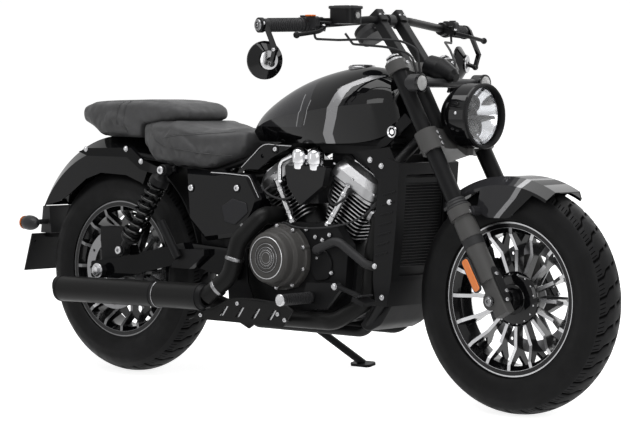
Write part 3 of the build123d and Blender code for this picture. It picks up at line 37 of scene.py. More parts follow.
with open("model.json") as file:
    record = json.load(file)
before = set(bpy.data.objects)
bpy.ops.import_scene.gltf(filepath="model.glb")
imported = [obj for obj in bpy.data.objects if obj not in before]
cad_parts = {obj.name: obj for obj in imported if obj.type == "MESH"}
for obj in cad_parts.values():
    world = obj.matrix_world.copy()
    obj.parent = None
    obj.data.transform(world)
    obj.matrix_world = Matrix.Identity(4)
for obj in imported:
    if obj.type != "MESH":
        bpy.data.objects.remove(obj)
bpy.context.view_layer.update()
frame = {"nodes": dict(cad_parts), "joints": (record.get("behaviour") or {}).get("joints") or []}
NODES = frame["nodes"]
JOINTS = {joint["name"]: joint for joint in frame["joints"]}

# ------------------------------------------------------------------ places, in mm on the upright machine
# X runs forward from the rear axle, Y to the rider's left and Z up from the ground, as in the part's source.
REAR_RADIUS = 306.0
FRONT_RADIUS = 302.0
LEFT = Vector(JOINTS["rear_wheel_spin"]["axis"]).normalized()
UP = Vector((1.0, 0.0, 0.0)).cross(LEFT)
GROUND = Vector(JOINTS["rear_wheel_spin"]["pos_m"]) - UP * REAR_RADIUS / 1000
MACHINE = Matrix.Translation(GROUND) @ Matrix(((1, LEFT.x, UP.x), (0, LEFT.y, UP.y), (0, LEFT.z, UP.z))).to_4x4()
TURN = np.array(MACHINE.to_3x3())
SHIFT = np.array(MACHINE.translation)

AHEAD, SIDE, ABOVE = np.eye(3)
BEHIND, RIGHT = -AHEAD, -SIDE


def machine_place(point):
    """A place of the row frame, in metres, as millimetres on the upright machine."""
    return (np.asarray(point) - SHIFT) @ TURN * 1000


FRONT_AXLE = machine_place(JOINTS["front_wheel_spin"]["pos_m"])
REAR_AXLE = np.array((0.0, 0.0, REAR_RADIUS))
RAKE = math.radians(30.0)
FORK_UP = np.array((-math.sin(RAKE), 0.0, math.cos(RAKE)))
FORK_AHEAD_WAY = np.array((math.cos(RAKE), 0.0, math.sin(RAKE)))
FORK_AHEAD = 14.0
FORK_SPREAD = 107.0
RIM_RADIUS = 202.0
TYRE_CROWN = 82.0
CRANK = np.array((780.0, 0.0, 360.0))
CLUTCH = np.array((701.0, 0.0, 380.0))
V_HALF_ANGLE = math.radians(30.0)


def on_fork(height, ahead=0.0, across=0.0):
    """Point by its height along the fork line, its distance ahead of that line and its Y."""
    return FRONT_AXLE + FORK_AHEAD_WAY * (FORK_AHEAD + ahead) + FORK_UP * height + SIDE * across


# ------------------------------------------------------------------ sizes and colours a user would change
def colour(name, description, default):
    """A colour setting."""
    return bpy.props.FloatVectorProperty(name=name, description=description, default=default, size=3,
                                         min=0.0, max=1.0, subtype="COLOR")


def length(name, description, default, low=0.0, high=1000.0):
    """A length setting, in millimetres."""
    return bpy.props.FloatProperty(name=name, description=description, default=default, min=low, max=high)


class CruiserSizes(bpy.types.PropertyGroup):
    """Sizes of the trim, in millimetres."""

    groove_depth: length("Groove depth", "Depth of the tread's grooves in mm", 5.5, 0.5, 8.0)
    tread_pitches: bpy.props.IntProperty(name="Tread pitches", description="Groove patterns round a tyre",
                                         default=38, min=20, max=60)
    bolt_radius: length("Bolt radius", "Radius of a fork bolt's head in mm, before its share", 7.0, 3.0, 12.0)
    cable_radius: length("Cable radius", "Radius of the clutch cable in mm", 2.8, 1.5, 5.0)
    stitch_length: length("Stitch length", "Length of one stitch of the seats in mm", 6.0, 3.0, 12.0)


class CruiserColours(bpy.types.PropertyGroup):
    """Colours of the finishes."""

    gloss_black: colour("Gloss black", "Paint of tank, fenders and side covers", (0.0035, 0.0035, 0.004))
    satin_black: colour("Satin black", "Paint of frame and brackets", (0.006, 0.006, 0.0065))
    fork_grey: colour("Fork grey", "Dark grey coat of fork lowers and clamps", (0.072, 0.071, 0.07))
    # This silver also paints two thin lines along the tank's side crease, which are painted highlights.
    stripe_silver: colour("Stripe silver", "Stripes on tank and fenders", (0.2, 0.2, 0.205))
    panel_grey: colour("Panel grey", "Dark matte panels of the paint", (0.022, 0.022, 0.024))
    bright_metal: colour("Bright metal", "Machined and polished metal", (0.46, 0.46, 0.47))
    dark_metal: colour("Dark metal", "Steel in shade, discs and shafts", (0.2, 0.2, 0.205))
    tyre_black: colour("Tyre black", "Rubber of the tyres", (0.005, 0.005, 0.0052))
    seat_black: colour("Seat black", "Cover of both seats", (0.04, 0.04, 0.041))
    amber: colour("Amber", "Reflectors", (0.85, 0.22, 0.03))
    tail_red: colour("Tail red", "Lens of the tail lamp", (0.3, 0.008, 0.01))


# ------------------------------------------------------------------ surfaces, worked out as whole arrays
def grid_faces(rows, columns, wrap_rows):
    """Quads between neighbouring points of a grid; columns close on the first, and rows do where wrapped."""
    i = np.arange(rows if wrap_rows else rows - 1)
    a, b = (g.ravel() for g in np.meshgrid(i, np.arange(columns), indexing="ij"))
    c, d = (a + 1) % rows, (b + 1) % columns
    return np.stack((a * columns + b, c * columns + b, c * columns + d, a * columns + d), axis=1)


def grid_shell(points, wrap_rows=False, poles=False):
    """Closed shell of a grid: the quads, with a flat many-sided face or a single pole point on each open end."""
    rows, columns = points.shape[:2]
    faces = grid_faces(rows, columns, wrap_rows).tolist()
    flat = points.reshape(-1, 3)
    if wrap_rows:
        return flat, faces
    first, last = np.arange(columns), np.arange(columns) + (rows - 1) * columns
    if not poles:
        return flat, faces + [first.tolist(), last[::-1].tolist()]
    low, high = len(flat), len(flat) + 1
    flat = np.vstack((flat, points[0].mean(axis=0), points[-1].mean(axis=0)))
    faces += np.stack((np.full(columns, low), first, np.roll(first, -1)), axis=1).tolist()
    faces += np.stack((last, np.full(columns, high), np.roll(last, -1)), axis=1).tolist()
    return flat, faces


def joined(shells):
    """Several shells as one."""
    points, faces, count = [], [], 0
    for flat, quads in shells:
        points.append(flat)
        faces += [[k + count for k in face] for face in quads]
        count += len(flat)
    return np.vstack(points), faces


def enclosed(flat, faces):
    """Signed volume: the sum over each face's fan of triangles of a dot (b cross c), over six."""
    total = 0.0
    by_count = {}
    for face in faces:
        by_count.setdefault(len(face), []).append(face)
    middle = flat.mean(axis=0)
    for count, same in by_count.items():
        corner = flat[np.array(same)] - middle
        for k in range(1, count - 1):
            total += np.einsum("ij,ij->", corner[:, 0], np.cross(corner[:, k], corner[:, k + 1]))
    return total / 6


def outward(shell):
    """The shell with its faces turned so that it encloses a positive volume."""
    flat, faces = shell
    return (flat, faces) if enclosed(flat, faces) > 0 else (flat, [face[::-1] for face in faces])


SHARP_EDGE = 32.0  # degrees, past which an edge is shaded as an edge


def add_piece(name, shells, finish, body, replaces=(), sharp=SHARP_EDGE):
    """A visible piece from one shell or a list of them, given in machine millimetres, riding on a body."""
    flat, faces = joined([outward(s) for s in (shells if isinstance(shells, list) else [shells])])
    mesh = bpy.data.meshes.new(name)
    mesh.from_pydata((flat @ TURN.T / 1000 + SHIFT).tolist(), [], faces)
    mesh.polygons.foreach_set("use_smooth", np.ones(len(mesh.polygons), dtype=bool))
    mesh.set_sharp_from_angle(angle=math.radians(sharp))
    mesh.materials.append(FINISHES[finish])
    mesh.update()
    piece = bpy.data.objects.new(name, mesh)
    bpy.context.scene.collection.objects.link(piece)
    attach(piece, body)
    if replaces:
        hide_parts(*replaces)


def add_pieces(body, *rows):
    """Several pieces on one body, each a row of its name, shells, finish, slot and what it replaces; the slot is not
    used.
    """
    for name, shells, finish, slot, *replaced in rows:
        add_piece(name, shells, finish, body, replaced)


def unit(v):
    """Vectors of length one."""
    v = np.asarray(v, dtype=float)
    return v / np.linalg.norm(v, axis=-1, keepdims=True)


def square_pair(axis):
    """Two directions square to an axis and to each other."""
    axis = unit(axis)
    aid = ABOVE if abs(axis[2]) < 0.9 else AHEAD
    u = unit(np.cross(aid, axis))
    return u, np.cross(axis, u)


def square_to(axis, pairs):
    """Points square to an axis: a*u + b*v for (a, b) pairs and the two directions square to it."""
    u, v = square_pair(axis)
    return pairs[:, :1] * u + pairs[:, 1:] * v


def circle(steps):
    """Even steps round a circle of radius one, as (cosine, sine) pairs."""
    angle = np.linspace(0, 2 * math.pi, steps, endpoint=False)
    return np.stack((np.cos(angle), np.sin(angle)), axis=1)


def turned(outline, origin, axis, steps=48, closed=False):
    """Outline of (radius, along) pairs carried round an axis: origin + along*axis + radius*(cos t u + sin t v)."""
    outline = np.asarray(outline, dtype=float)
    axis = unit(axis)
    ring = square_to(axis, circle(steps))
    points = np.asarray(origin, float) + outline[:, 1, None, None] * axis + outline[:, 0, None, None] * ring
    return grid_shell(points, wrap_rows=closed, poles=True)


def smooth_path(points, count):
    """Points of the curve through the given ones, by a cubic between neighbours with central-difference slopes."""
    points = np.asarray(points, dtype=float)
    step = np.linalg.norm(np.diff(points, axis=0), axis=1) ** 0.5
    knots = np.concatenate(([0.0], np.cumsum(step)))
    slope = np.gradient(points, knots, axis=0)
    at = np.linspace(0, knots[-1], count)
    k = np.clip(np.searchsorted(knots, at, side="right") - 1, 0, len(knots) - 2)
    width = (knots[k + 1] - knots[k])[:, None]
    t = (at[:, None] - knots[k][:, None]) / width
    return ((2 * t**3 - 3 * t**2 + 1) * points[k] + (t**3 - 2 * t**2 + t) * width * slope[k]
            + (3 * t**2 - 2 * t**3) * points[k + 1] + (t**3 - t**2) * width * slope[k + 1])


def carried(path, section, aid=ABOVE):
    """Section of (across, up) pairs carried along a path: path + across*side + up*rise, with side square to
    the path's tangent and to a fixed aid direction, and rise square to both."""
    path = np.asarray(path, dtype=float)
    tangent = unit(np.gradient(path, axis=0))
    side = unit(np.cross(tangent, np.asarray(aid, float)))
    rise = np.cross(side, tangent)
    section = np.asarray(section, dtype=float)
    return grid_shell(path[:, None] + section[:, 0, None] * side[:, None] + section[:, 1, None] * rise[:, None])


def cord(path, radius, steps=8, aid=SIDE):
    """Round cord along a path: a circle of the radius carried along it."""
    return carried(path, radius * circle(steps), aid)


def rod(start, end, radius, steps=16, edge=0.6):
    """Round bar between two points with softened ends."""
    start, end = np.asarray(start, float), np.asarray(end, float)
    long = np.linalg.norm(end - start)
    outline = [(radius - edge, 0.0), (radius, edge), (radius, long - edge), (radius - edge, long)]
    return turned(outline, start, end - start, steps)


def rounded_outline(corners, radius, steps=5):
    """Closed outline with each corner replaced by an arc: the points of a quadratic from one tangent point
    over the corner to the next."""
    corners = np.asarray(corners, dtype=float)
    back, ahead = np.roll(corners, 1, axis=0) - corners, np.roll(corners, -1, axis=0) - corners
    reach = np.minimum(radius, 0.45 * np.minimum(np.linalg.norm(back, axis=1), np.linalg.norm(ahead, axis=1)))
    p = corners + unit(back) * reach[:, None]
    q = corners + unit(ahead) * reach[:, None]
    t = np.linspace(0, 1, steps)[None, :, None]
    return ((1 - t) ** 2 * p[:, None] + 2 * t * (1 - t) * corners[:, None] + t**2 * q[:, None]).reshape(-1, 2)


def rounded_box(left, right, low, high, radius, steps=5):
    """Rectangle with rounded corners, as (across, up) pairs."""
    return rounded_outline([(left, low), (right, low), (right, high), (left, high)], radius, steps)


def plate(outline, origin, across, up, thick, edge=0.8):
    """Flat piece: an outline of (across, up) pairs, with softened rims, carried over its thickness."""
    outline = np.asarray(outline, dtype=float)
    ahead, back = np.roll(outline, -1, axis=0), np.roll(outline, 1, axis=0)
    run = unit(ahead - back)
    normal = np.stack((run[:, 1], -run[:, 0]), axis=1)
    area = np.sum(outline[:, 0] * ahead[:, 1] - outline[:, 1] * ahead[:, 0])
    shrunk = outline - normal * edge * np.sign(area)
    across, up = unit(across), unit(up)
    way = np.cross(across, up)
    rows = [(shrunk, 0.0), (outline, edge), (outline, thick - edge), (shrunk, thick)]
    points = np.stack([np.asarray(origin, float) + o[:, :1] * across + o[:, 1:] * up + way * d for o, d in rows])
    return grid_shell(points)


def side_plate(outline, y, thick, edge=0.8):
    """Plate of an (X, Z) outline, from a Y towards the right."""
    return plate(outline, (0, y, 0), AHEAD, ABOVE, thick, edge)


def level_plate(outline, origin, thick, edge=0.8):
    """Plate of an (X, Y) outline round an origin, upwards from it."""
    return plate(outline, origin, AHEAD, SIDE, thick, edge)


def ring_outline(inner, outer, low, high, edge=1.0):
    """Closed outline of a ring, as (radius, along) pairs."""
    return [(inner, low), (outer - edge, low), (outer, low + edge), (outer, high - edge), (outer - edge, high),
            (inner, high)]


def hoop(inner, outer, low, high, origin, axis, steps=48, edge=1.0):
    """Ring round an axis, from one distance along it to another."""
    return turned(ring_outline(inner, outer, low, high, edge), origin, axis, steps, closed=True)


def dome(radius, height, base, steps=6):
    """Outline of a cap as (radius, along) pairs: a quarter ellipse over a base, without its last point."""
    t = np.linspace(0, math.pi / 2, steps)[:-1]
    return np.column_stack((radius * np.cos(t), base + height * np.sin(t)))


def dish(radius, deep, hole, thick, count=14):
    """Bowl as a closed (radius, along) outline: along = -deep*(1 - (r/radius)^2), with a wall behind it."""
    r = np.linspace(hole, radius, count)
    along = -deep * (1 - (r / radius) ** 2)
    front = np.stack((r, along), axis=1)
    return np.vstack((front, (front - (0, thick))[::-1]))


def arc_through(first, middle, last, count):
    """Points of the circle through three points, from the first to the last by way of the middle one."""
    a, b, c = (np.asarray(p, float) for p in (first, middle, last))
    lhs = 2 * np.array((b - a, c - a))
    centre = np.linalg.solve(lhs, np.array((b @ b - a @ a, c @ c - a @ a)))
    angles = np.unwrap([math.atan2(*(p - centre)[::-1]) for p in (a, b, c)])
    turn = np.linspace(angles[0], angles[2], count)
    return centre + np.linalg.norm(a - centre) * np.stack((np.cos(turn), np.sin(turn)), axis=1)


def helix(origin, axis, radius, low, high, turns, flat, steps=26):
    """Points of a spring's middle line: origin + axis*s(t) + radius*(cos t u + sin t v), where s rises evenly
    but slows over the flat share of a turn at both ends."""
    t = np.linspace(0, turns, int(turns * steps) + 1)
    share = np.clip((t - flat) / (turns - 2 * flat), 0, 1)
    along = low + (high - low) * (0.06 * t / turns + 0.94 * share)
    angle = 2 * math.pi * t
    ring = square_to(axis, np.stack((np.cos(angle), np.sin(angle)), axis=1))
    return np.asarray(origin, float) + along[:, None] * unit(axis) + radius * ring


def round_axle(centre, radius, angles, y):
    """Places on a circle in the machine's X-Z plane round a centre, all at one Y."""
    angles = np.asarray(angles)
    return centre + radius * np.stack((np.cos(angles), 0 * angles, np.sin(angles)), axis=1) + (0, y, 0)


def copies(shell, places, ways):
    """Copies of a shell drawn along +Z at the origin, each moved to a place and turned to a way."""
    flat, faces = outward(shell)
    out = []
    for place, way in zip(places, ways):
        u, v = square_pair(way)
        out.append((np.asarray(place, float) + flat @ np.stack((u, v, unit(way))), faces))
    return out


def rightward(shell, places):
    """Copies of a shell drawn along +Z that all face the right."""
    return copies(shell, places, [RIGHT] * len(places))


def mirrored(shell):
    """The shell's image across the middle plane."""
    flat, faces = shell
    return flat * (1, -1, 1), faces


def pair(*shells):
    """Shells and their images across the middle plane."""
    return list(shells) + [mirrored(shell) for shell in shells]


# ------------------------------------------------------------------ fasteners, drawn along +Z from the surface
ORIGIN = np.zeros(3)


def hex_bolt(radius, height=5.0):
    """Washer and six-sided head with a chamfered top: a turned outline whose head has six steps."""
    washer = [(radius * 1.18, -0.4), (radius * 1.25, 0.2), (radius * 1.25, 1.2), (radius * 1.18, 1.6)]
    head = [(radius, 1.4), (radius, height - 1), (radius * 0.84, height)]
    return joined([outward(turned(washer, ORIGIN, ABOVE, 24)), outward(turned(head, ORIGIN, ABOVE, 6))])


def socket_bolt(radius, height=5.0):
    """Round cap head with a six-sided socket sunk in its top: radius*cos(30)/cos(t - 30) over each sixth."""
    steps = 24
    cap = ((radius * 0.9, -0.4), (radius, 0.3), (radius, height - 1.2), (radius * 0.88, height))
    angle = np.linspace(0, 2 * math.pi, steps, endpoint=False)
    hexagon = radius * 0.52 * math.cos(math.pi / 6) / np.cos((angle % (math.pi / 3)) - math.pi / 6)
    rows = [*cap, (hexagon, height - 0.1), (hexagon, height * 0.35)]
    ring = circle(steps)
    points = [np.column_stack((ring * np.broadcast_to(r, steps)[:, None], np.full(steps, h))) for r, h in rows]
    return grid_shell(np.stack(points))


def dome_bolt(radius, height=4.0):
    """Button head: a quarter ellipse turned round."""
    return turned(np.vstack(((radius, -0.4), dome(radius, height, 0.0))), ORIGIN, ABOVE, 20)


# ------------------------------------------------------------------ finishes, as node trees
def shade(tone, share):
    """A colour made darker or lighter by a share."""
    return tuple(share * v for v in tone)


class Finish:
    """One material and the nodes that are added to it."""

    def __init__(self, name, base, rough, metal=0.0, **fixed):
        self.material = bpy.data.materials.new(name)
        self.material.use_nodes = True
        self.tree = self.material.node_tree
        self.shader = self.tree.nodes["Principled BSDF"]
        self.put("Base Color", (*base, 1.0))
        self.put("Roughness", rough)
        self.put("Metallic", metal)
        for socket, value in fixed.items():
            self.put(socket.replace("_", " ").title().replace("Ior", "IOR"), value)

    def put(self, socket, value, node=None):
        """Sets a socket of the shader or of a node, or links another node's output to it."""
        entry = (node or self.shader).inputs[socket]
        if isinstance(value, bpy.types.NodeSocket):
            self.tree.links.new(value, entry)
        else:
            entry.default_value = value

    def node(self, kind, sockets=(), **settings):
        """A new node with its settings, and its input sockets set or linked by name or number."""
        node = self.tree.nodes.new("ShaderNode" + kind)
        for key, value in settings.items():
            setattr(node, key, value)
        for key, value in dict(sockets).items():
            self.put(key, value, node)
        return node

    def in_machine(self, vector, **sockets):
        """A vector carried from the row frame to the machine's axes, as three values."""
        sockets = {"Vector": vector, "Rotation": MACHINE.to_euler(), **sockets}
        moved = self.node("Mapping", sockets, vector_type="TEXTURE")
        return self.node("SeparateXYZ", {0: moved.outputs[0]}).outputs

    def place(self):
        """Object coordinates, in metres."""
        return self.node("TexCoord").outputs["Object"]

    def machine(self):
        """The place in machine millimetres, as three values."""
        return self.in_machine(self.place(), Location=SHIFT, Scale=(0.001,) * 3)

    def facing(self):
        """The surface's direction in the machine's axes, as three values."""
        return self.in_machine(self.node("TexCoord").outputs["Normal"])

    def value(self, operation, *terms):
        """Arithmetic on values."""
        return self.node("Math", dict(enumerate(terms)), operation=operation).outputs[0]

    def less(self, first, second):
        """The first value less the second."""
        return self.value("SUBTRACT", first, second)

    def times(self, first, second):
        """The product of two values."""
        return self.value("MULTIPLY", first, second)

    def size(self, value):
        """A value without its sign."""
        return self.value("ABSOLUTE", value)

    def span(self, value, low, high, out_low=0.0, out_high=1.0):
        """Value carried from one range to another, held at its ends."""
        return self.node("MapRange", {0: value, 1: low, 2: high, 3: out_low, 4: out_high}, clamp=True).outputs[0]

    def between(self, value, low, high, soft):
        """1 where the value lies between low and high, fading over a soft edge."""
        return self.times(self.span(value, low - soft, low), self.span(value, high, high + soft, 1.0, 0.0))

    def noise(self, scale, detail=3.0, rough=0.55):
        """Noise from 0 to 1 on Object coordinates; scale in patches a metre."""
        return self.node("TexNoise", {"Vector": self.place(), "Scale": scale, "Detail": detail,
                                      "Roughness": rough}).outputs[0]

    def uneven(self, scale, detail, low, high):
        """Roughness that drifts between two values with a noise."""
        self.put("Roughness", self.span(self.noise(scale, detail), 0.3, 0.7, low, high))

    def cells(self, scale):
        """Distance to the middle of Voronoi cells on Object coordinates."""
        return self.node("TexVoronoi", {"Vector": self.place(), "Scale": scale}).outputs["Distance"]

    def axle_distance(self, x, z, axle):
        """Distance from an axle along Y: the root of dx^2 + dz^2."""
        dx, dz = self.less(x, axle[0]), self.less(z, axle[2])
        return self.value("SQRT", self.value("ADD", self.times(dx, dx), self.times(dz, dz)))

    def ground_rings(self, radius, scale, detail):
        """Noise that changes with a radius alone, as rings ground round an axle."""
        at = self.node("CombineXYZ", {0: radius}).outputs[0]
        return self.node("TexNoise", {"Vector": at, "Scale": scale, "Detail": detail}).outputs[0]

    def blend(self, share, first, second):
        """Colour between two others by a share."""
        first, second = (c if isinstance(c, bpy.types.NodeSocket) else (*c, 1.0) for c in (first, second))
        return self.node("Mix", {0: share, 6: first, 7: second}, data_type="RGBA").outputs[2]

    def curve(self, value, table):
        """A value read from a table of (value, result) pairs, straight between them."""
        (low, high), (least, most) = ((min(c), max(c)) for c in zip(*table))
        node = self.node("FloatCurve", {1: self.span(value, low, high)})
        line = node.mapping.curves[0]
        for _ in range(len(table) - 2):
            line.points.new(0.5, 0.5)
        for point, (at, result) in zip(line.points, sorted(table)):
            point.location = ((at - low) / (high - low), (result - least) / (most - least))
            point.handle_type = "VECTOR"
        node.mapping.update()
        return self.span(node.outputs[0], 0.0, 1.0, least, most)

    def bump(self, height, depth, strength=1.0):
        """Relief of a height from 0 to 1 that is depth metres tall."""
        joined_to = self.shader.inputs["Normal"].links
        sockets = {"Height": height, "Distance": depth, "Strength": strength}
        if joined_to:
            sockets["Normal"] = joined_to[0].from_socket
        self.put("Normal", self.node("Bump", sockets).outputs[0])

    def bright_where(self, share, paint, metal):
        """Bare metal by a share, and paint elsewhere."""
        self.put("Metallic", share)
        self.put("Base Color", self.blend(share, paint, metal))


DUST = (0.35, 0.34, 0.33)
DUST_SHARE = 0.012


def pebbled(name, base, rough, gloss, grain, relief):
    """Coat with fine grain, patchy roughness and a light film of dust on what faces up."""
    f = Finish(name, base, rough, specular_ior_level=gloss)
    f.uneven(14.0, 4.0, rough - 0.06, rough + 0.06)
    up = f.span(f.facing()["Z"], 0.2, 1.0)
    film = f.times(f.times(up, f.noise(60.0, 5.0)), DUST_SHARE)
    f.put("Base Color", f.blend(film, base, DUST))
    f.bump(f.noise(grain, 2.0), relief, 0.6)
    return f


def satin_coat(name, base, rough=0.42, grain=900.0, relief=0.00005):
    """Powder coat: fine pebbled grain, uneven sheen."""
    return pebbled(name, base, rough, 0.1, grain, relief)


def moulded(name, base, rough=0.5):
    """Moulded plastic or rubber with a fine pebble."""
    return pebbled(name, base, rough, 0.25, 1500.0, 0.00006)


def gloss_paint(name, base, coat=0.55):
    """Black lacquer under a clear coat with a faint orange peel."""
    f = Finish(name, base, 0.3, specular_ior_level=0.0, coat_weight=coat, coat_roughness=0.03, coat_ior=1.45)
    f.uneven(9.0, 4.0, 0.24, 0.36)
    f.bump(f.noise(260.0, 1.0), 0.00003, 0.25)
    return f


def striped_paint(name, base, panel, stripe, panel_edge, panel_low, bands_and_highlights):
    """Black lacquer with a matte panel behind an edge line and silver bands along lines: stripes, and on the tank two
    thin painted highlights along its side crease; each line is a table of (height, X) and each band adds its half width
    and its lowest and highest height."""
    f = gloss_paint(name, base)
    x, _, z = f.machine()
    inside = f.value("LESS_THAN", f.less(x, f.curve(z, panel_edge)), 0.0)
    tone = f.blend(f.times(inside, f.value("GREATER_THAN", z, panel_low)), base, panel)
    marks = 0.0
    for line, half, low, high in bands_and_highlights:
        away = f.size(f.less(x, f.curve(z, line)))
        mark = f.times(f.span(away, half + 0.25, half - 0.25), f.between(z, low, high, 0.3))
        marks = f.value("MAXIMUM", mark, marks)
    # the bands are the silver stripes and, on the tank, two painted highlights along the side crease
    stripe_and_highlight_tone = f.blend(f.noise(1800.0, 1.0), shade(stripe, 0.8), shade(stripe, 1.15))
    f.put("Base Color", f.blend(marks, tone, stripe_and_highlight_tone))
    f.put("Metallic", f.times(marks, 0.35))
    return f


def bare_metal(name, base, rough, relief=0.00003):
    """Bare metal with a fine grain, and duller in patches."""
    f = Finish(name, base, rough, metal=1.0)
    grain = f.noise(300.0, 3.0)
    f.put("Roughness", f.span(grain, 0.3, 0.7, rough - 0.05, rough + 0.07))
    f.put("Base Color", f.blend(f.noise(25.0, 5.0), shade(base, 0.82), base))
    f.bump(grain, relief, 0.4)
    return f


def machined_wheel(name, paint, metal, axle, inner, outer):
    """Gloss black wheel whose faces that look sideways are machined bright outside the hub, with a black step
    below the rim's edge."""
    f = Finish(name, paint, 0.2, specular_ior_level=0.15, coat_weight=0.3, coat_roughness=0.05)
    x, _, z = f.machine()
    radius = f.axle_distance(x, z, axle)
    zones = f.value("ADD", f.between(radius, inner, outer - 17, 0.5), f.between(radius, outer - 5.5, outer, 0.5))
    bright = f.times(zones, f.span(f.size(f.facing()["Y"]), 0.62, 0.7))
    f.bright_where(bright, paint, metal)
    f.put("Roughness", f.span(bright, 0, 1, 0.18, 0.3))
    f.bump(f.times(f.ground_rings(radius, 2.2, 2.0), bright), 0.00004, 0.35)
    return f


def finned_metal(name, paint, metal, crank, half_angle, barrel=58.0):
    """Black fins whose rims are machined bright: bright where the surface looks square to its cylinder's axis and
    lies outside the barrel."""
    f = Finish(name, paint, 0.45, specular_ior_level=0.2)
    x, y, z = f.machine()
    way = f.facing()
    front = f.span(x, crank[0] - 0.1, crank[0] + 0.1)
    lean = f.times(f.span(front, 0, 1, -1, 1), math.sin(half_angle))
    rise = math.cos(half_angle)
    along = f.value("ADD", f.times(way["X"], lean), f.times(way["Z"], rise))
    aside = f.less(f.times(f.less(x, crank[0]), rise), f.times(f.less(z, crank[2]), lean))
    far = f.value("MAXIMUM", f.size(aside), f.size(y))
    f.bright_where(f.times(f.span(f.size(along), 0.35, 0.25), f.span(far, barrel - 0.5, barrel + 0.5)), paint, metal)
    f.uneven(120.0, 3.0, 0.3, 0.44)
    f.bump(f.noise(500.0, 2.0), 0.00008, 0.5)
    return f


def chromed_part(name, paint, metal):
    """Black casting whose domes, high on the right, and bent pipe behind them are chromed: bright above a height,
    or behind an X and above a sloping line."""
    f = Finish(name, paint, 0.45, specular_ior_level=0.2)
    x, y, z = f.machine()
    dome_part = f.value("GREATER_THAN", z, 634.0)
    pipe = f.times(f.value("LESS_THAN", x, 676.0), f.value("GREATER_THAN", f.less(z, f.times(x, 0.9)), -38.0))
    bright = f.times(f.value("MAXIMUM", dome_part, pipe), f.value("LESS_THAN", y, -85.0))
    f.bright_where(bright, paint, metal)
    f.put("Roughness", f.span(f.value("ADD", bright, f.times(f.noise(30.0), 0.1)), 0, 1.1, 0.48, 0.1))
    f.bump(f.times(f.noise(500.0, 2.0), f.less(1.0, bright)), 0.00008, 0.5)
    return f


def disc_steel(name, metal, axle):
    """Brake disc: rings ground round the axle."""
    f = Finish(name, metal, 0.32, metal=1.0)
    x, _, z = f.machine()
    rings = f.ground_rings(f.axle_distance(x, z, axle), 3.0, 3.0)
    f.put("Roughness", f.span(rings, 0.3, 0.7, 0.24, 0.4))
    f.bump(rings, 0.00003, 0.5)
    return f


def tyre_rubber(name, base, axle, radius, half):
    """Matte rubber, greyer on the tread, with painted shade in the grooves: near black where a point of the tread lies
    deeper than the crown's arc."""
    f = Finish(name, base, 0.5, specular_ior_level=0.09)
    x, y, z = f.machine()
    away = f.axle_distance(x, z, axle)
    arc = f.value("SQRT", f.value("MAXIMUM", f.less(TYRE_CROWN**2, f.times(y, y)), 0.0))
    sunk = f.span(f.less(f.value("ADD", arc, radius - TYRE_CROWN), away), 0.5, 2.5)
    tread = f.value("LESS_THAN", f.size(y), 0.8 * half - 0.6)
    groove = f.times(sunk, tread)
    tone = f.blend(f.span(f.noise(18.0, 6.0, 0.65), 0.35, 0.75), base, shade(base, 1.7))
    tone = f.blend(f.times(tread, 0.8), tone, shade(base, 2.6))
    # painted shade: the grooves are painted near black
    f.put("Base Color", f.blend(groove, tone, (0.0006,) * 3))
    f.put("Roughness", f.span(f.value("ADD", f.noise(40.0, 4.0), groove), 0.3, 1.3, 0.42, 0.9))
    f.bump(f.noise(1400.0, 3.0), 0.00006, 0.6)
    return f


def seat_vinyl(name, base):
    """Leather grain: small cells with creases, and a low sheen."""
    f = Finish(name, base, 0.55, specular_ior_level=0.25, sheen_weight=0.03, sheen_roughness=0.4)
    f.uneven(22.0, 4.0, 0.46, 0.62)
    f.put("Base Color", f.blend(f.span(f.noise(35.0, 5.0), 0.35, 0.7), base, shade(base, 1.35)))
    f.bump(f.cells(620.0), 0.00022, 0.55)
    f.bump(f.noise(260.0, 5.0), 0.00015, 0.4)
    return f


def lens(name, tint, rough=0.03, prism=0.0, clear=1.0):
    """Clear or coloured lens, with a prismatic back where prism, its cells' size in metres, is over 0."""
    f = Finish(name, tint, rough, transmission_weight=clear, ior=1.49)
    f.uneven(30.0, 3.0, rough, rough + 0.04)
    if prism:
        f.bump(f.cells(1.0 / prism), prism * 0.4, 0.9)
    return f


# ------------------------------------------------------------------ camera, floor and light
PICTURE = (630, 421)
CAMERA_PLACE = (5195.98, -5136.54, 846.28)  # on the upright machine, in mm
CAMERA_YAW = math.radians(41.1177)
CAMERA_PITCH = math.radians(2.8718)
CAMERA_ROLL = math.radians(0.43475)
FOCAL_PIXELS = 2447.24
SENSOR = 36.0
FAR_CLIP = 200.0


def place_camera():
    """Camera in front of the machine on its right, looking back at it; it leans with the machine."""
    sy, cy = math.sin(CAMERA_YAW), math.cos(CAMERA_YAW)
    sp, cp = math.sin(CAMERA_PITCH), math.cos(CAMERA_PITCH)
    ahead = Vector((-sy * cp, cy * cp, -sp))
    right = Vector((cy, sy, 0.0))
    up = right.cross(ahead)
    right, up = (right * math.cos(CAMERA_ROLL) + up * math.sin(CAMERA_ROLL),
                 up * math.cos(CAMERA_ROLL) - right * math.sin(CAMERA_ROLL))
    turn = Matrix((right, up, -ahead)).transposed().to_4x4()
    data = bpy.data.cameras.new("camera")
    data.sensor_width = SENSOR
    data.lens = FOCAL_PIXELS * SENSOR / PICTURE[0]
    data.clip_end = FAR_CLIP
    camera = bpy.data.objects.new("camera", data)
    bpy.context.scene.collection.objects.link(camera)
    camera.matrix_world = MACHINE @ Matrix.Translation(Vector(CAMERA_PLACE) / 1000) @ turn
    bpy.context.scene.camera = camera


LAMPS = {  # name: place, aim, width, height, watts
    "overhead": ((0.2, -0.3, 3.0), (0.0, 0.0, 0.5), 3.2, 1.8, 84.0),
    "front_right": ((3.2, -2.2, 1.9), (0.2, 0.0, 0.5), 1.6, 2.2, 46.0),
    "right_rear": ((-2.4, -3.0, 1.6), (-0.3, 0.0, 0.5), 1.4, 2.0, 7.0),
    "left_fill": ((0.4, 3.4, 1.8), (0.0, 0.0, 0.5), 2.6, 1.8, 24.0),
}


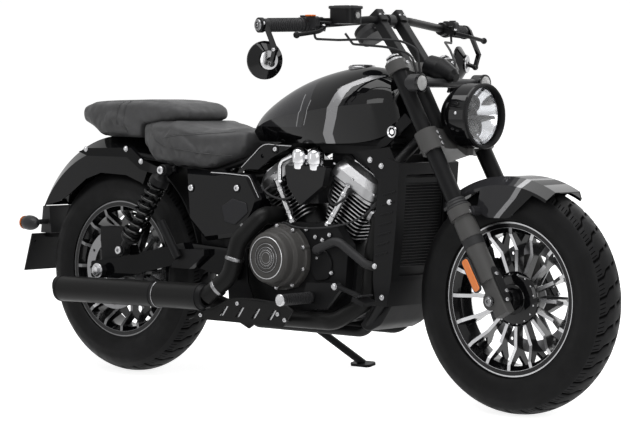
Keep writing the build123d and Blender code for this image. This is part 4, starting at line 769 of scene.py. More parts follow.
def place_lamps():
    """Large soft boxes round the machine."""
    for name, (spot, aim, width, height, watts) in LAMPS.items():
        data = bpy.data.lights.new(name, "AREA")
        data.shape = "RECTANGLE"
        data.size, data.size_y = width, height
        data.energy = watts
        lamp = bpy.data.objects.new(name, data)
        bpy.context.scene.collection.objects.link(lamp)
        way = Vector(aim) - Vector(spot)
        lamp.matrix_world = Matrix.Translation(spot) @ way.to_track_quat("-Z", "Y").to_matrix().to_4x4()


WORLD_AS_LAMP = 0.22
WORLD_SEEN = 1.0
FLOOR_SEEN = 0.83  # above the matte part, so that the two come to white
FLOOR_REACH = 30.0  # metres


def pictured(tree, low, high):
    """A strength that is high for rays from the camera, a mirror or a glass, and low for all others."""
    path = tree.nodes.new("ShaderNodeLightPath")
    direct = None
    for ray in ("Is Camera Ray", "Is Transmission Ray", "Is Glossy Ray"):
        seen = tree.nodes.new("ShaderNodeMath")
        seen.operation = "MAXIMUM"
        tree.links.new(path.outputs[ray], seen.inputs[0])
        seen.inputs[1].default_value = 0.0
        if direct:
            tree.links.new(direct, seen.inputs[1])
        direct = seen.outputs[0]
    level = tree.nodes.new("ShaderNodeMapRange")
    tree.links.new(direct, level.inputs[0])
    level.inputs[3].default_value = low
    level.inputs[4].default_value = high
    return level.outputs[0]


def backdrop_world():
    """White to the camera and to what is mirrored or seen through glass, dim as a lamp."""
    world = bpy.data.worlds.new("studio")
    bpy.context.scene.world = world
    world.use_nodes = True
    tree = world.node_tree
    back = tree.nodes["Background"]
    back.inputs["Color"].default_value = (1.0, 1.0, 1.0, 1.0)
    tree.links.new(pictured(tree, WORLD_AS_LAMP, WORLD_SEEN), back.inputs["Strength"])


def pale_floor():
    """Pale floor that keeps the machine's shadow: a matte part, and a part that is white to the camera, a
    mirror or a glass."""
    mesh = bpy.data.meshes.new("floor")
    corners = [(x * FLOOR_REACH, y * FLOOR_REACH, 0) for x, y in ((-1, -1), (1, -1), (1, 1), (-1, 1))]
    mesh.from_pydata(corners, [], [(0, 1, 2, 3)])
    floor = bpy.data.objects.new("floor", mesh)
    bpy.context.scene.collection.objects.link(floor)
    f = Finish("floor_white", (0.8, 0.8, 0.8), 0.9, specular_ior_level=0.0)
    f.put("Emission Color", (1.0, 1.0, 1.0, 1.0))
    f.put("Emission Strength", pictured(f.tree, 0.0, FLOOR_SEEN))
    mesh.materials.append(f.material)


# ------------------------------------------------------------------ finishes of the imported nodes
TYRES = {  # end: axle, outer radius, width, rim width
    "front": (FRONT_AXLE, FRONT_RADIUS, 124.0, 86.0),
    "rear": (REAR_AXLE, REAR_RADIUS, 150.0, 112.0),
}
WHEEL_BRIGHT = (66, 203.5)  # radii between which a wheel's faces are machined
TANK_PANEL_EDGE = [(738, 767), (799, 815), (859, 798), (905, 790)]
TANK_PANEL_LOW = 738.0
TANK_STRIPE_AND_HIGHLIGHTS = [  # (height, X) along the band, its half width, its lowest and highest height; the first band is the silver stripe, the two thin ones are painted highlights along the side crease
    ([(722, 856), (765, 883), (805, 903), (831, 911), (850, 922), (862, 947), (878, 978)], 16.5, 690, 880),
    # painted highlights: two thin silver lines where the side crease catches the light
    ([(739, 750), (785, 783), (826, 779)], 1.6, 740, 828),
    ([(744, 780), (780, 807), (812, 812)], 1.3, 744, 813),
]
FENDER_PANEL_EDGE = [(500, 1385), (522, 1402), (567, 1447), (612, 1478), (640, 1500)]
FENDER_PANEL_LOW = 480.0
FENDER_BANDS = [([(500, 1390), (522, 1408), (567, 1453), (612, 1485), (640, 1505)], 9.0, 480, 640)]
FINISHES = {}


def wheel_end_finishes(end, colours, bright):
    """Tyre, wheel and disc of one end."""
    axle, radius, width, _ = TYRES[end]
    return {
        end + "_tyre": tyre_rubber(end + "_tyre_rubber", colours["tyre_black"], axle, radius, width / 2),
        end + "_wheel": machined_wheel(end + "_wheel_machined", colours["gloss_black"], bright, axle, *WHEEL_BRIGHT),
        end + "_disc": disc_steel(end + "_disc_steel", colours["dark_metal"], axle),
    }


def make_finishes(settings):
    """Every finish by name, from the colour settings."""
    c = {key: tuple(getattr(settings, key)) for key in CruiserColours.__annotations__}
    gloss, satin, panel, metal = (c[key] for key in ("gloss_black", "satin_black", "panel_grey", "bright_metal"))
    stripe_and_highlight_paints = (gloss, panel, c["stripe_silver"])
    made = {
        **wheel_end_finishes("front", c, metal),
        # painted shade: the rear wheel is the same wheel as the front, and its machined faces are painted at 0.3 of the
        # bright metal for the shade it lies in
        **wheel_end_finishes("rear", c, shade(metal, 0.3)),
        "tank": striped_paint("tank_striped_paint", *stripe_and_highlight_paints, TANK_PANEL_EDGE, TANK_PANEL_LOW, TANK_STRIPE_AND_HIGHLIGHTS),
        "fender": striped_paint("fender_striped_paint", *stripe_and_highlight_paints, FENDER_PANEL_EDGE, FENDER_PANEL_LOW, FENDER_BANDS),
        "fins": finned_metal("finned_barrels", satin, shade(metal, 0.75), CRANK, V_HALF_ANGLE),
        "gloss": gloss_paint("gloss_black_paint", gloss),
        "panel": satin_coat("matte_panel_coat", panel, rough=0.5),
        "cover": gloss_paint("cover_black_paint", gloss, coat=0.28),
        "satin": satin_coat("satin_black_coat", satin),
        "fork": satin_coat("fork_grey_coat", c["fork_grey"], rough=0.36, relief=0.00003),
        "engine": satin_coat("engine_black_coat", satin, rough=0.5, grain=500.0, relief=0.00009),
        "zinc": bare_metal("zinc_steel", metal, 0.28),
        "shaft": bare_metal("dark_shaft_steel", c["dark_metal"], 0.25),
        "polish": bare_metal("polished_alloy", metal, 0.24, relief=0.00002),
        "chrome": bare_metal("bright_chrome", shade(metal, 1.4), 0.08, relief=0.000005),
        "bronze": satin_coat("bronze_grey_coat", (0.062, 0.06, 0.058), rough=0.34),
        "exhaust": satin_coat("exhaust_black_coat", (0.006, 0.006, 0.006), rough=0.38, relief=0.00003),
        "vinyl": seat_vinyl("seat_vinyl", c["seat_black"]),
        "rubber": moulded("black_rubber", (0.015, 0.015, 0.016), rough=0.6),
        "plastic": moulded("black_plastic", (0.014, 0.014, 0.015), rough=0.45),
        "thread": moulded("seat_thread", (0.06, 0.06, 0.062), rough=0.7),
        "glass": lens("clear_lens", (0.95, 0.96, 0.97)),
        "core": satin_coat("radiator_core_coat", (0.02, 0.02, 0.021), rough=0.45),
        "orange": moulded("orange_switch", (0.62, 0.14, 0.02), rough=0.4),
        "white": moulded("dial_white", (0.75, 0.75, 0.72), rough=0.5),
        "screen": moulded("dial_screen", (0.16, 0.19, 0.16), rough=0.2),
        "domes": chromed_part("air_box_and_domes", satin, shade(metal, 1.2)),
        "cast": bare_metal("cast_alloy", shade(metal, 0.8), 0.33, relief=0.00004),
        "projector": lens("projector_lens", (0.5, 0.52, 0.55)),
        "smoke": lens("ribbed_lens", (0.7, 0.7, 0.69), 0.08, prism=0.003, clear=0.6),
        "amber": lens("amber_reflector", c["amber"], 0.12, prism=0.0022, clear=0.15),
        "red": lens("tail_red_lens", c["tail_red"], 0.08, prism=0.004, clear=0.3),
    }
    return {key: finish.material for key, finish in made.items()}


NODE_FINISH = {  # finish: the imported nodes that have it
    "front_tyre": ("front_tyre",),
    "rear_tyre": ("rear_tyre",),
    "front_wheel": ("front_wheel",),
    "rear_wheel": ("rear_wheel",),
    "front_disc": ("front_brake_disc",),
    "rear_disc": ("rear_brake_disc",),
    "rubber": ("drive_belt", "coolant_hoses", "grips", "control_cables"),
    "satin": ("frame", "side_stand", "rear_axle", "lamp_nacelle", "radiator_shroud", "bar_risers", "handlebar",
              "foot_controls", "plate_holder", "rear_shocks", "fork_tubes", "passenger_pegs", "brake_reservoir",
              "hand_levers", "tank_cap"),
    "fork": ("fork_lowers", "lower_clamp", "upper_clamp"),
    "shaft": ("rear_pulley", "front_axle"),
    "domes": ("air_box",),
    "engine": ("crankcase", "under_tank_block", "front_calliper", "rear_calliper"),
    "cast": ("rocker_covers",),
    "bronze": ("engine_covers",),
    "exhaust": ("exhaust_pipes", "muffler", "heat_shield"),
    "tank": ("fuel_tank",),
    "fender": ("front_fender",),
    "fins": ("cylinders",),
    "gloss": ("rear_fender", "headlamp_bucket", "mirrors"),
    "cover": ("side_covers", "frame_covers", "swingarm", "fender_struts"),
    "vinyl": ("rider_seat", "pillion_seat"),
    "glass": ("headlamp_lens",),
    "plastic": ("switch_housings", "instrument", "front_indicators", "rear_indicators", "tail_lamp"),
    "core": ("radiator",),
}


def dress(node, finish):
    """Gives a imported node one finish."""
    mesh = NODES[node].data
    mesh.materials.clear()
    mesh.materials.append(finish)


class CRUISER_OT_node_finishes(bpy.types.Operator):
    """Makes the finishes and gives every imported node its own"""

    bl_idname = "cruiser.node_finishes"
    bl_label = "Finish the packed nodes"

    def execute(self, context):
        FINISHES.update(make_finishes(context.scene.cruiser_colours))
        for finish, names in NODE_FINISH.items():
            for name in names:
                if name in NODES:
                    dress(name, FINISHES[finish])
        return {"FINISHED"}


class CRUISER_OT_stage(bpy.types.Operator):
    """Places the camera, the lamps, the world and the floor"""

    bl_idname = "cruiser.stage"
    bl_label = "Stage, light and camera"

    def execute(self, context):
        context.scene.view_settings.view_transform = "Standard"
        place_camera()
        place_lamps()
        backdrop_world()
        pale_floor()
        return {"FINISHED"}


# ------------------------------------------------------------------ tyres
TREAD_ROWS = np.array((  # mm round a pitch of 50, share of the groove's depth and of the tick's
    (0.0, 0.35, 0.0), (0.7, 1.0, 0.0), (5.3, 1.0, 0.0), (6.0, 0.35, 0.0), (9.0, 0.0, 0.0), (12.0, 0.0, 0.0),
    (12.7, 0.0, 1.0), (14.2, 0.0, 1.0), (14.9, 0.0, 0.0), (19.0, 0.0, 0.0), (23.5, 0.0, 0.0),
    (24.2, 0.0, 1.0), (25.7, 0.0, 1.0), (26.4, 0.0, 0.0), (31.0, 0.0, 0.0), (36.0, 0.0, 0.0),
    (36.7, 0.0, 1.0), (38.2, 0.0, 1.0), (38.9, 0.0, 0.0), (44.0, 0.0, 0.0)))
TREAD_COLUMNS = np.array((1.5, 4, 4.7, 9, 15, 20, 23, 26, 29, 33, 34, 38, 42, 45, 46, 47.3, 48))  # mm aside
GROOVE_SHIFT = ((0, 0), (4, 2), (20, 9), (29, 25), (48, 34), (80, 36))  # mm aside, mm round
GROOVE_ASIDE = (4.2, 47.6)
TICK_ASIDE = (33.5, 46.5)
TICK_DEPTH = 0.7
WALL_RIDGES = ((240.0, 1.2), (262.0, 1.0), (266.0, 0.8))  # radius and height
TYRE_WALL = 9.0


def tyre_shell(axle, radius, width, rim_width, sizes):
    """Tyre as radius and aside over a grid: crown arc, side walls and inner face make the columns, and the rows run
    round it, pushed along by an odd function of the distance aside so that each follows a bent groove; a point
    sinks by the groove depth where its row and its distance aside both lie in a groove."""
    half = width / 2
    shoulder = 0.8 * half
    aside = np.concatenate((TREAD_COLUMNS[TREAD_COLUMNS < shoulder - 1], [shoulder]))
    crown = np.concatenate((-aside[::-1], [0], aside))
    crown_r = radius - TYRE_CROWN + np.sqrt(TYRE_CROWN**2 - crown**2)
    tall = radius - RIM_RADIUS
    bead = (RIM_RADIUS, rim_width / 2 + 3)
    wall = arc_through((crown_r[-1], shoulder), (RIM_RADIUS + 0.45 * tall, half), bead, 15)[1:]
    for ring, high in WALL_RIDGES:
        wall[:, 1] += high * np.exp(-((wall[:, 0] - ring) / 2.4) ** 2)
    inner_half = rim_width / 2 - 4
    inner_y = np.linspace(inner_half, -inner_half, 9)
    inner_r = RIM_RADIUS + 2 + (tall - TYRE_WALL - 4) * (1 - (inner_y / inner_half) ** 2) ** 0.5
    r = np.concatenate((crown_r, wall[:, 0], inner_r, wall[::-1, 0]))
    y = np.concatenate((crown, wall[:, 1], inner_y, -wall[::-1, 1]))
    pitch = 2 * math.pi * radius / sizes.tread_pitches
    along = (np.arange(sizes.tread_pitches)[:, None] * pitch + TREAD_ROWS[None, :, 0] * pitch / 50.0).ravel()
    main, tick = (np.tile(TREAD_ROWS[:, k], sizes.tread_pitches)[:, None] for k in (1, 2))
    away = np.abs(y)
    on_tread = np.arange(len(y)) < len(crown)
    in_main, in_tick = ((on_tread & (away > low) & (away < high)).astype(float)[None]
                        for low, high in (GROOVE_ASIDE, TICK_ASIDE))
    sink = np.maximum(main * in_main, TICK_DEPTH * tick * in_tick) * sizes.groove_depth
    shift = np.sign(y) * np.interp(away, *zip(*GROOVE_SHIFT))
    angle = (along[:, None] + shift[None]) / radius
    rr = r[None] - sink
    points = (axle[0] + rr * np.cos(angle), np.broadcast_to(y, rr.shape), axle[2] + rr * np.sin(angle))
    return grid_shell(np.stack(points, axis=-1), wrap_rows=True)


class CRUISER_OT_tyres(bpy.types.Operator):
    """Makes both tyres with their grooves and side wall ridges"""

    bl_idname = "cruiser.tyres"
    bl_label = "Tyres"

    def execute(self, context):
        for end, size in TYRES.items():
            tyre = end + "_tyre"
            add_piece(tyre + "_tread", tyre_shell(*size, context.scene.cruiser_sizes), tyre, end + "_wheel",
                      (tyre,), sharp=38.0)
        return {"FINISHED"}


# ------------------------------------------------------------------ seats
SEAT_VOXEL = 0.006  # metres
SEAT_CAP = 0.005  # metres that cloth pressure may move a point
RELAX_ROUNDS = 22
CLOTH_FRAMES = 20
CLOTH_QUALITY = 4
CLOTH_PRESSURE = 4.0


def mesh_points(mesh):
    """Places of a mesh's points as one array."""
    points = np.empty(len(mesh.vertices) * 3, dtype=np.float32)
    mesh.vertices.foreach_get("co", points)
    return points.reshape(-1, 3).astype(float)


def move_points(mesh, points):
    """Puts a mesh's points at new places."""
    mesh.vertices.foreach_set("co", points.astype(np.float32).ravel())
    mesh.update()


def relaxed(mesh, rounds, keep=0.5):
    """Moves every point towards the mean of its neighbours, several times, then back out a little so that the
    volume stays: p + share*(mean - p), with a share that alternates between plus and minus."""
    points = mesh_points(mesh)
    edges = np.empty(len(mesh.edges) * 2, dtype=np.int64)
    mesh.edges.foreach_get("vertices", edges)
    a, b = edges.reshape(-1, 2).T
    count = np.bincount(np.concatenate((a, b)), minlength=len(points))[:, None]
    for step in range(rounds):
        total = np.zeros_like(points)
        np.add.at(total, a, points[b])
        np.add.at(total, b, points[a])
        share = keep if step % 2 == 0 else -keep * 0.86
        points += share * (total / count - points)
    move_points(mesh, points)


def baked(piece):
    """The mesh of a piece with its modifiers applied."""
    graph = bpy.context.evaluated_depsgraph_get()
    return bpy.data.meshes.new_from_object(piece.evaluated_get(graph))


def settle(piece):
    """Applies a piece's modifiers to its own mesh."""
    mesh = baked(piece)
    piece.modifiers.clear()
    piece.data = mesh
    return mesh


def swell(piece, mesh):
    """Cloth pressure blows the pad up, and each point keeps at most the cap of its move."""
    rest = mesh_points(mesh)
    cloth = piece.modifiers.new("cloth", "CLOTH")
    cloth.settings.quality = CLOTH_QUALITY
    cloth.settings.use_pressure = True
    cloth.settings.uniform_pressure_force = CLOTH_PRESSURE
    cloth.settings.effector_weights.gravity = 0.0
    cloth.point_cache.frame_start, cloth.point_cache.frame_end = 1, CLOTH_FRAMES
    for step in range(1, CLOTH_FRAMES + 1):
        bpy.context.scene.frame_set(step)
    moved = mesh_points(baked(piece)) - rest
    far = np.linalg.norm(moved, axis=1, keepdims=True)
    moved *= np.minimum(1.0, SEAT_CAP / np.maximum(far, 1e-9))
    piece.modifiers.clear()
    move_points(mesh, rest + moved)
    bpy.context.scene.frame_set(1)


def padded_seat(node, name, finish):
    """Pad grown from a packed seat: its mesh remeshed, relaxed, swollen by cloth pressure and subdivided once."""
    piece = bpy.data.objects.new(name, NODES[node].data.copy())
    bpy.context.scene.collection.objects.link(piece)
    bpy.context.view_layer.objects.active = piece
    remesh = piece.modifiers.new("remesh", "REMESH")
    remesh.mode = "VOXEL"
    remesh.voxel_size = SEAT_VOXEL
    bpy.context.view_layer.update()
    mesh = settle(piece)
    relaxed(mesh, RELAX_ROUNDS)
    swell(piece, mesh)
    finer = piece.modifiers.new("finer", "SUBSURF")
    finer.levels = finer.render_levels = 1
    mesh = settle(piece)
    mesh.polygons.foreach_set("use_smooth", np.ones(len(mesh.polygons), dtype=bool))
    mesh.materials.clear()
    mesh.materials.append(finish)
    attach(piece, "frame")
    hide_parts(node)
    return piece


SEAT_SEAMS = {  # piece: seams as (X, Z) on the right side, in machine mm
    "rider_pad": [[(170, 742), (194, 727), (225, 699), (267, 679), (332, 669), (406, 660), (466, 655), (500, 652)],
                  [(262, 700), (311, 707), (369, 711), (440, 716), (505, 722)]],
    "pillion_pad": [[(72, 802), (66, 780), (61, 752), (66, 728), (78, 712)],
                    [(44, 801), (36, 780), (32, 752), (36, 732)]],
}
SEAM_OUTSIDE = 400  # mm from the middle plane, outside both seats
SEAM_POINTS = 60
FEWEST_POINTS = 8  # that a seam is laid through
PIPING_RADIUS = 1.5
STITCH_RADIUS = 0.55
STITCH_OFF = 4.2  # mm from the piping


def seam_line(piece, points, side):
    """Points of a seam on a pad: level rays from outside at even steps along the seam, kept where they strike."""
    tree = BVHTree.FromPolygons([v.co for v in piece.data.vertices], [p.vertices for p in piece.data.polygons])
    out = []
    for spot in smooth_path([(x, 0.0, z) for x, z in points], SEAM_POINTS):
        start = Vector(TURN @ (spot * (1, 0, 1) + (0, side * SEAM_OUTSIDE, 0)) / 1000 + SHIFT)
        hit = tree.ray_cast(start, Vector(TURN @ np.array((0.0, -side, 0.0))))[0]
        if hit is not None:
            out.append(machine_place(np.array(hit)))
    return np.array(out)


def stitch_row(row, side):
    """Stitches along a row of points: every other step, bowed outwards by half a millimetre."""
    bow = np.array((0, side * 0.5, 0))
    return [cord(np.array((a, (a + b) / 2 + bow, b)), STITCH_RADIUS, 6) for a, b in zip(row[:-1:2], row[1::2])]


def add_seams(piece, name, stitch_length):
    """Piping laid on each seam, and a row of stitches on both sides of it."""
    piping, stitches = [], []
    for seam in SEAT_SEAMS[name]:
        for side in (-1, 1):
            line = seam_line(piece, seam, side)
            if len(line) < FEWEST_POINTS:
                continue
            line = smooth_path(line[::3], 70)
            piping.append(cord(line, PIPING_RADIUS))
            long = np.linalg.norm(np.diff(line, axis=0), axis=1).sum()
            fine = smooth_path(line, max(12, 2 * int(long / stitch_length)))
            up = unit(np.cross(np.gradient(fine, axis=0), (0, side, 0)))
            for off in (-STITCH_OFF, STITCH_OFF):
                stitches += stitch_row(fine + up * off + np.array((0, side * 0.1, 0)), side)
    add_pieces("frame", (name + "_piping", piping, "vinyl", "seat_vinyl"),
               (name + "_stitches", stitches, "thread", "seat_vinyl"))


class CRUISER_OT_seats(bpy.types.Operator):
    """Makes the two padded seats with their seams"""

    bl_idname = "cruiser.seats"
    bl_label = "Seats"

    def execute(self, context):
        for node, name in (("rider_seat", "rider_pad"), ("pillion_seat", "pillion_pad")):
            piece = padded_seat(node, name, FINISHES["vinyl"])
            add_seams(piece, name, context.scene.cruiser_sizes.stitch_length)
        return {"FINISHED"}


# ------------------------------------------------------------------ wheels and fork
HUB_STUDS = np.arange(16) * math.pi / 8 + math.pi / 16
VALVE_TURN = {"front": 2.3, "rear": 2.0}  # radians round the axle
VALVE = [(4.2, 0), (4.2, 8), (3.0, 12), (3.0, 22), (4.0, 22.5), (4.0, 31), (3.2, 32)]


class CRUISER_OT_wheel_trim(bpy.types.Operator):
    """Makes the front hub's cover and studs, and both valves"""

    bl_idname = "cruiser.wheel_trim"
    bl_label = "Wheel trim"

    def execute(self, context):
        cover = [(33, 30), (58, 29), (66, 25), (72, 17), (70, 12), (62, 12), (60, 20), (33, 22)]
        shells = [turned(cover, FRONT_AXLE, RIGHT, 64, closed=True), hoop(30.5, 40, 29.5, 33, FRONT_AXLE, RIGHT, 64)]
        spots = round_axle(FRONT_AXLE, 65.5, HUB_STUDS, -25.4)
        studs = copies(dome_bolt(2.6, 2.4), spots, round_axle(RIGHT, 0.3, HUB_STUDS, 0))
        add_pieces("front_wheel", ("front_hub_cover", shells, "gloss", "wheel_black"),
                   ("front_hub_studs", studs, "zinc", "disc_steel"))
        for end, turn in VALVE_TURN.items():
            way = np.array((math.cos(turn), 0.0, math.sin(turn)))
            foot = TYRES[end][0] + way * 176 + (0, -4, 0)
            stem = turned(VALVE, foot, -way + (0, -0.15, 0), 16)
            add_piece(end + "_valve", stem, "rubber", end + "_wheel")
        return {"FINISHED"}


def capsule_outline(wide, tall):
    """Rectangle with fully rounded short ends, as (across, up) pairs."""
    return rounded_box(-wide / 2, wide / 2, -tall / 2, tall / 2, wide * 0.49, 8)


REFLECTOR = np.array((1367.0, -132.5, 367.0))
BRAKE_LUG = np.array((1339.0, -108.2, 530.0))
GUARD_BOLTS = ((58, 27.6, -4), (8, 27.6, 6), (-16, 27.6, -6))  # height, ahead, aside of the fork tube
CLAMP_BOLTS = ((456, 30.2, 8), (472, 30.0, 8), (440, 30.0, 8), (683, 28.4, 10))


class CRUISER_OT_fork_trim(bpy.types.Operator):
    """Makes the fork's reflectors, dust seals, caps, axle guards and bolts, and the front axle's caps"""

    bl_idname = "cruiser.fork_trim"
    bl_label = "Fork trim"

    def execute(self, context):
        bezel = plate(capsule_outline(28, 98), REFLECTOR, FORK_AHEAD_WAY, FORK_UP, 5.0, 1.5)
        face = plate(capsule_outline(21, 90), REFLECTOR + (0, -4.6, 0), FORK_AHEAD_WAY, FORK_UP, 3.6, 1.6)
        foot = on_fork(0, 0, -FORK_SPREAD)
        seal = [(22.7, 262.2), (31, 262.2), (32, 264), (30, 268), (26.5, 270), (27.5, 273), (26.5, 276.5), (25, 278),
                (26, 281), (25, 284), (22.7, 286)]
        step = [(26.8, 150), (28.2, 151), (28.2, 172), (26.8, 173)]
        cap = [(20.2, 698.4), (24, 698.4), (24, 704), (21, 707), (19, 707)]
        seal, step, cap = (turned(outline, foot, FORK_UP, 40, closed=True) for outline in (seal, step, cap))
        crown = turned([(14, 712.2), (18.5, 712.4), (18.5, 716), (14, 717.5)], foot, FORK_UP, 32)
        hexagon = turned([(11, 711), (11, 719), (9, 721)], foot, FORK_UP, 6)
        guard = rounded_outline([(-15, -40), (13, -40), (17, -10), (17, 42), (8, 60), (-9, 60), (-15, 46)], 6)
        guard = plate(guard, on_fork(20, 24.5, -FORK_SPREAD), SIDE, FORK_UP, 3.4)
        head = socket_bolt(context.scene.cruiser_sizes.bolt_radius * 0.75, 4.6)
        low, high = ([on_fork(height, ahead, aside - FORK_SPREAD) for height, ahead, aside in rows]
                     for rows in (GUARD_BOLTS, CLAMP_BOLTS))
        bolts = copies(head, low, [FORK_AHEAD_WAY] * len(low)) + rightward(head, [BRAKE_LUG])
        bolts += copies(head, high, [FORK_AHEAD_WAY] * len(high))
        axle_caps = rightward(socket_bolt(10.5, 5.0), [FRONT_AXLE + (0, -131.2, 0)])
        add_pieces("steering", ("fork_reflector_bezels", pair(bezel), "plastic", "lamp_plastic"),
                   ("fork_reflectors", pair(face), "amber", "lens_glass"),
                   ("fork_dust_seals", pair(seal, step), "rubber", "fork_black"),
                   ("fork_caps", pair(cap, crown, hexagon), "zinc", "zinc_steel"),
                   ("fork_guards", pair(guard), "satin", "fork_black"),
                   ("fork_bolts", pair(*bolts), "zinc", "zinc_steel"),
                   ("front_axle_caps", pair(*axle_caps), "shaft", "zinc_steel"))
        return {"FINISHED"}


# ------------------------------------------------------------------ lamps
LAMP = np.array((1300.0, 0.0, 775.0))
PROJECTORS = (  # height in the lamp, radius, and the frame's outline
    (-30, 25.5, [(33, -54), (33, -40), (29, -30), (26, -28), (26, -54)]),
    (32, 16.5, [(24, -54), (24, -38), (20, -30), (17, -29), (17, -54)]),
)
FRONT_INDICATORS = [(1197.0, 137.0 * sign, 861.0) for sign in (-1, 1)]
REAR_INDICATORS = [(-341.0, 132.0 * sign, 432.0) for sign in (-1, 1)]
TAIL_SEAT = np.array((-351.6, 0.0, 438.0))
TAIL_SLOPE = unit((10.0, 0.0, 81.7))
PLATE_TOP = np.array((-358.0, 0.0, 396.0))
PLATE_DOWN = unit((-34.0, 0.0, -114.0))
PLATE_BACK = unit((-114.0, 0.0, 34.0))


def headlamp():
    """Glass, bowl, rim, a shelf with two projectors in their frames, back and screws."""
    face = [(0.01, 1.5), (30, 0.6), (55, -2.2), (70, -6), (75.4, -10), (75.4, -12.5), (70, -8.4), (55, -4.6),
            (30, -1.8), (0.01, -1.0)]
    rim = [(75.9, -9), (84, -2), (86.4, 0.5), (86.9, 3.0), (84, 6.5), (79, 6.0), (76, 1.0)]
    shelf = rounded_outline([(-70, -6), (70, -6), (66, 3), (-66, 3)], 2.5)
    frames, balls = [plate(shelf, LAMP + (-46, 0, -2), SIDE, ABOVE, 30.0, 1.2)], []
    for high, radius, outline in PROJECTORS:
        frames.append(turned(outline, LAMP + (0, 0, high), AHEAD, closed=True))
        bulge = radius * 0.62
        ball = np.vstack(((radius, -54), dome(radius, bulge, -42, 9), (0.02, -42 + bulge)))
        balls.append(turned(ball, LAMP + (0, 0, high), AHEAD))
    screws = copies(dome_bolt(4.5, 3), [LAMP + (-30, -86.0, 8), LAMP + (-30, 86.0, 8)], [RIGHT, SIDE])
    bowl = turned(dish(73.5, 40, 30, 1.6), LAMP + (-13, 0, 0), AHEAD, 72, closed=True)
    add_pieces("steering", ("headlamp_glass", turned(face, LAMP, AHEAD, 72), "glass", "lens_glass", "headlamp_lens"),
               ("headlamp_reflector", bowl, "chrome", "disc_steel"),
               ("headlamp_rim", turned(rim, LAMP, AHEAD, 80, closed=True), "satin", "gloss_black"),
               ("headlamp_frames", frames, "plastic", "lamp_plastic"),
               ("headlamp_projectors", balls, "projector", "lens_glass"),
               ("headlamp_back", turned([(72.5, -57.8), (72.5, -54.5)], LAMP, AHEAD), "plastic", "lamp_plastic"),
               ("headlamp_screws", screws, "zinc", "zinc_steel"))


def indicators():
    """Mirrors, lenses and rims of the four indicators."""
    lamp = [(20.5, 0.2), (20, 3), (15, 6.5), (8, 8.4), (0.02, 9.0)]
    mirror = [(20.4, -1.0), (20.4, 0.4), (14, 0.9), (5, 1.0), (0.02, 1.0)]
    pod = [(20.2, -0.8), (19.4, 3), (14, 8), (7, 10.6), (0.02, 11.2)]
    lamps, mirrors = ([turned(outline, spot, AHEAD, 40) for spot in FRONT_INDICATORS] for outline in (lamp, mirror))
    rings = [hoop(20.8, 24.4, -5, 3.4, spot, AHEAD, 40) for spot in FRONT_INDICATORS]
    add_pieces("steering", ("front_indicator_mirrors", mirrors, "chrome", "disc_steel"),
               ("front_indicator_lenses", lamps, "smoke", "lens_glass"),
               ("front_indicator_rims", rings, "gloss", "lamp_plastic"))
    pods = [turned(pod, spot, BEHIND, 36) for spot in REAR_INDICATORS]
    add_piece("rear_indicator_lenses", pods, "amber", "frame")


def tail_lamp():
    """Tail lamp's lens and bezel, and the plate's bolts."""
    glass = plate(rounded_box(-46, 46, -36, 36, 9, 6), TAIL_SEAT, RIGHT, TAIL_SLOPE, 7.0, 2.4)
    bezel = rounded_box(-50, 50, -39.5, 39.5, 11, 6)
    bezel = plate(bezel, TAIL_SEAT + (1.2, 0, 0), RIGHT, TAIL_SLOPE, 3.4, 1.0)
    spots = [PLATE_TOP + PLATE_DOWN * 24 + (0, side * 73.0, 0) + PLATE_BACK * 0.3 for side in (-1, 1)]
    bolts = copies(dome_bolt(6.5, 3.2), spots, [PLATE_BACK] * 2)
    add_pieces("frame", ("tail_lamp_lens", glass, "red", "lens_glass"),
               ("tail_lamp_bezel", bezel, "plastic", "lamp_plastic"), ("plate_bolts", bolts, "zinc", "zinc_steel"))


class CRUISER_OT_lamps(bpy.types.Operator):
    """Makes the headlamp's insides, the indicators' lenses, the tail lamp's face and the plate's bolts"""

    bl_idname = "cruiser.lamps"
    bl_label = "Lamps"

    def execute(self, context):
        headlamp()
        indicators()
        tail_lamp()
        return {"FINISHED"}


# ------------------------------------------------------------------ rear shocks
SHOCK_FOOT = np.array((106.0, -152.0, 371.0))
SHOCK_TOP = np.array((276.0, -152.0, 608.0))
SHOCK_STUDS = ((SHOCK_FOOT, 22), (SHOCK_TOP, 32))  # eye, and how far its stud reaches inwards


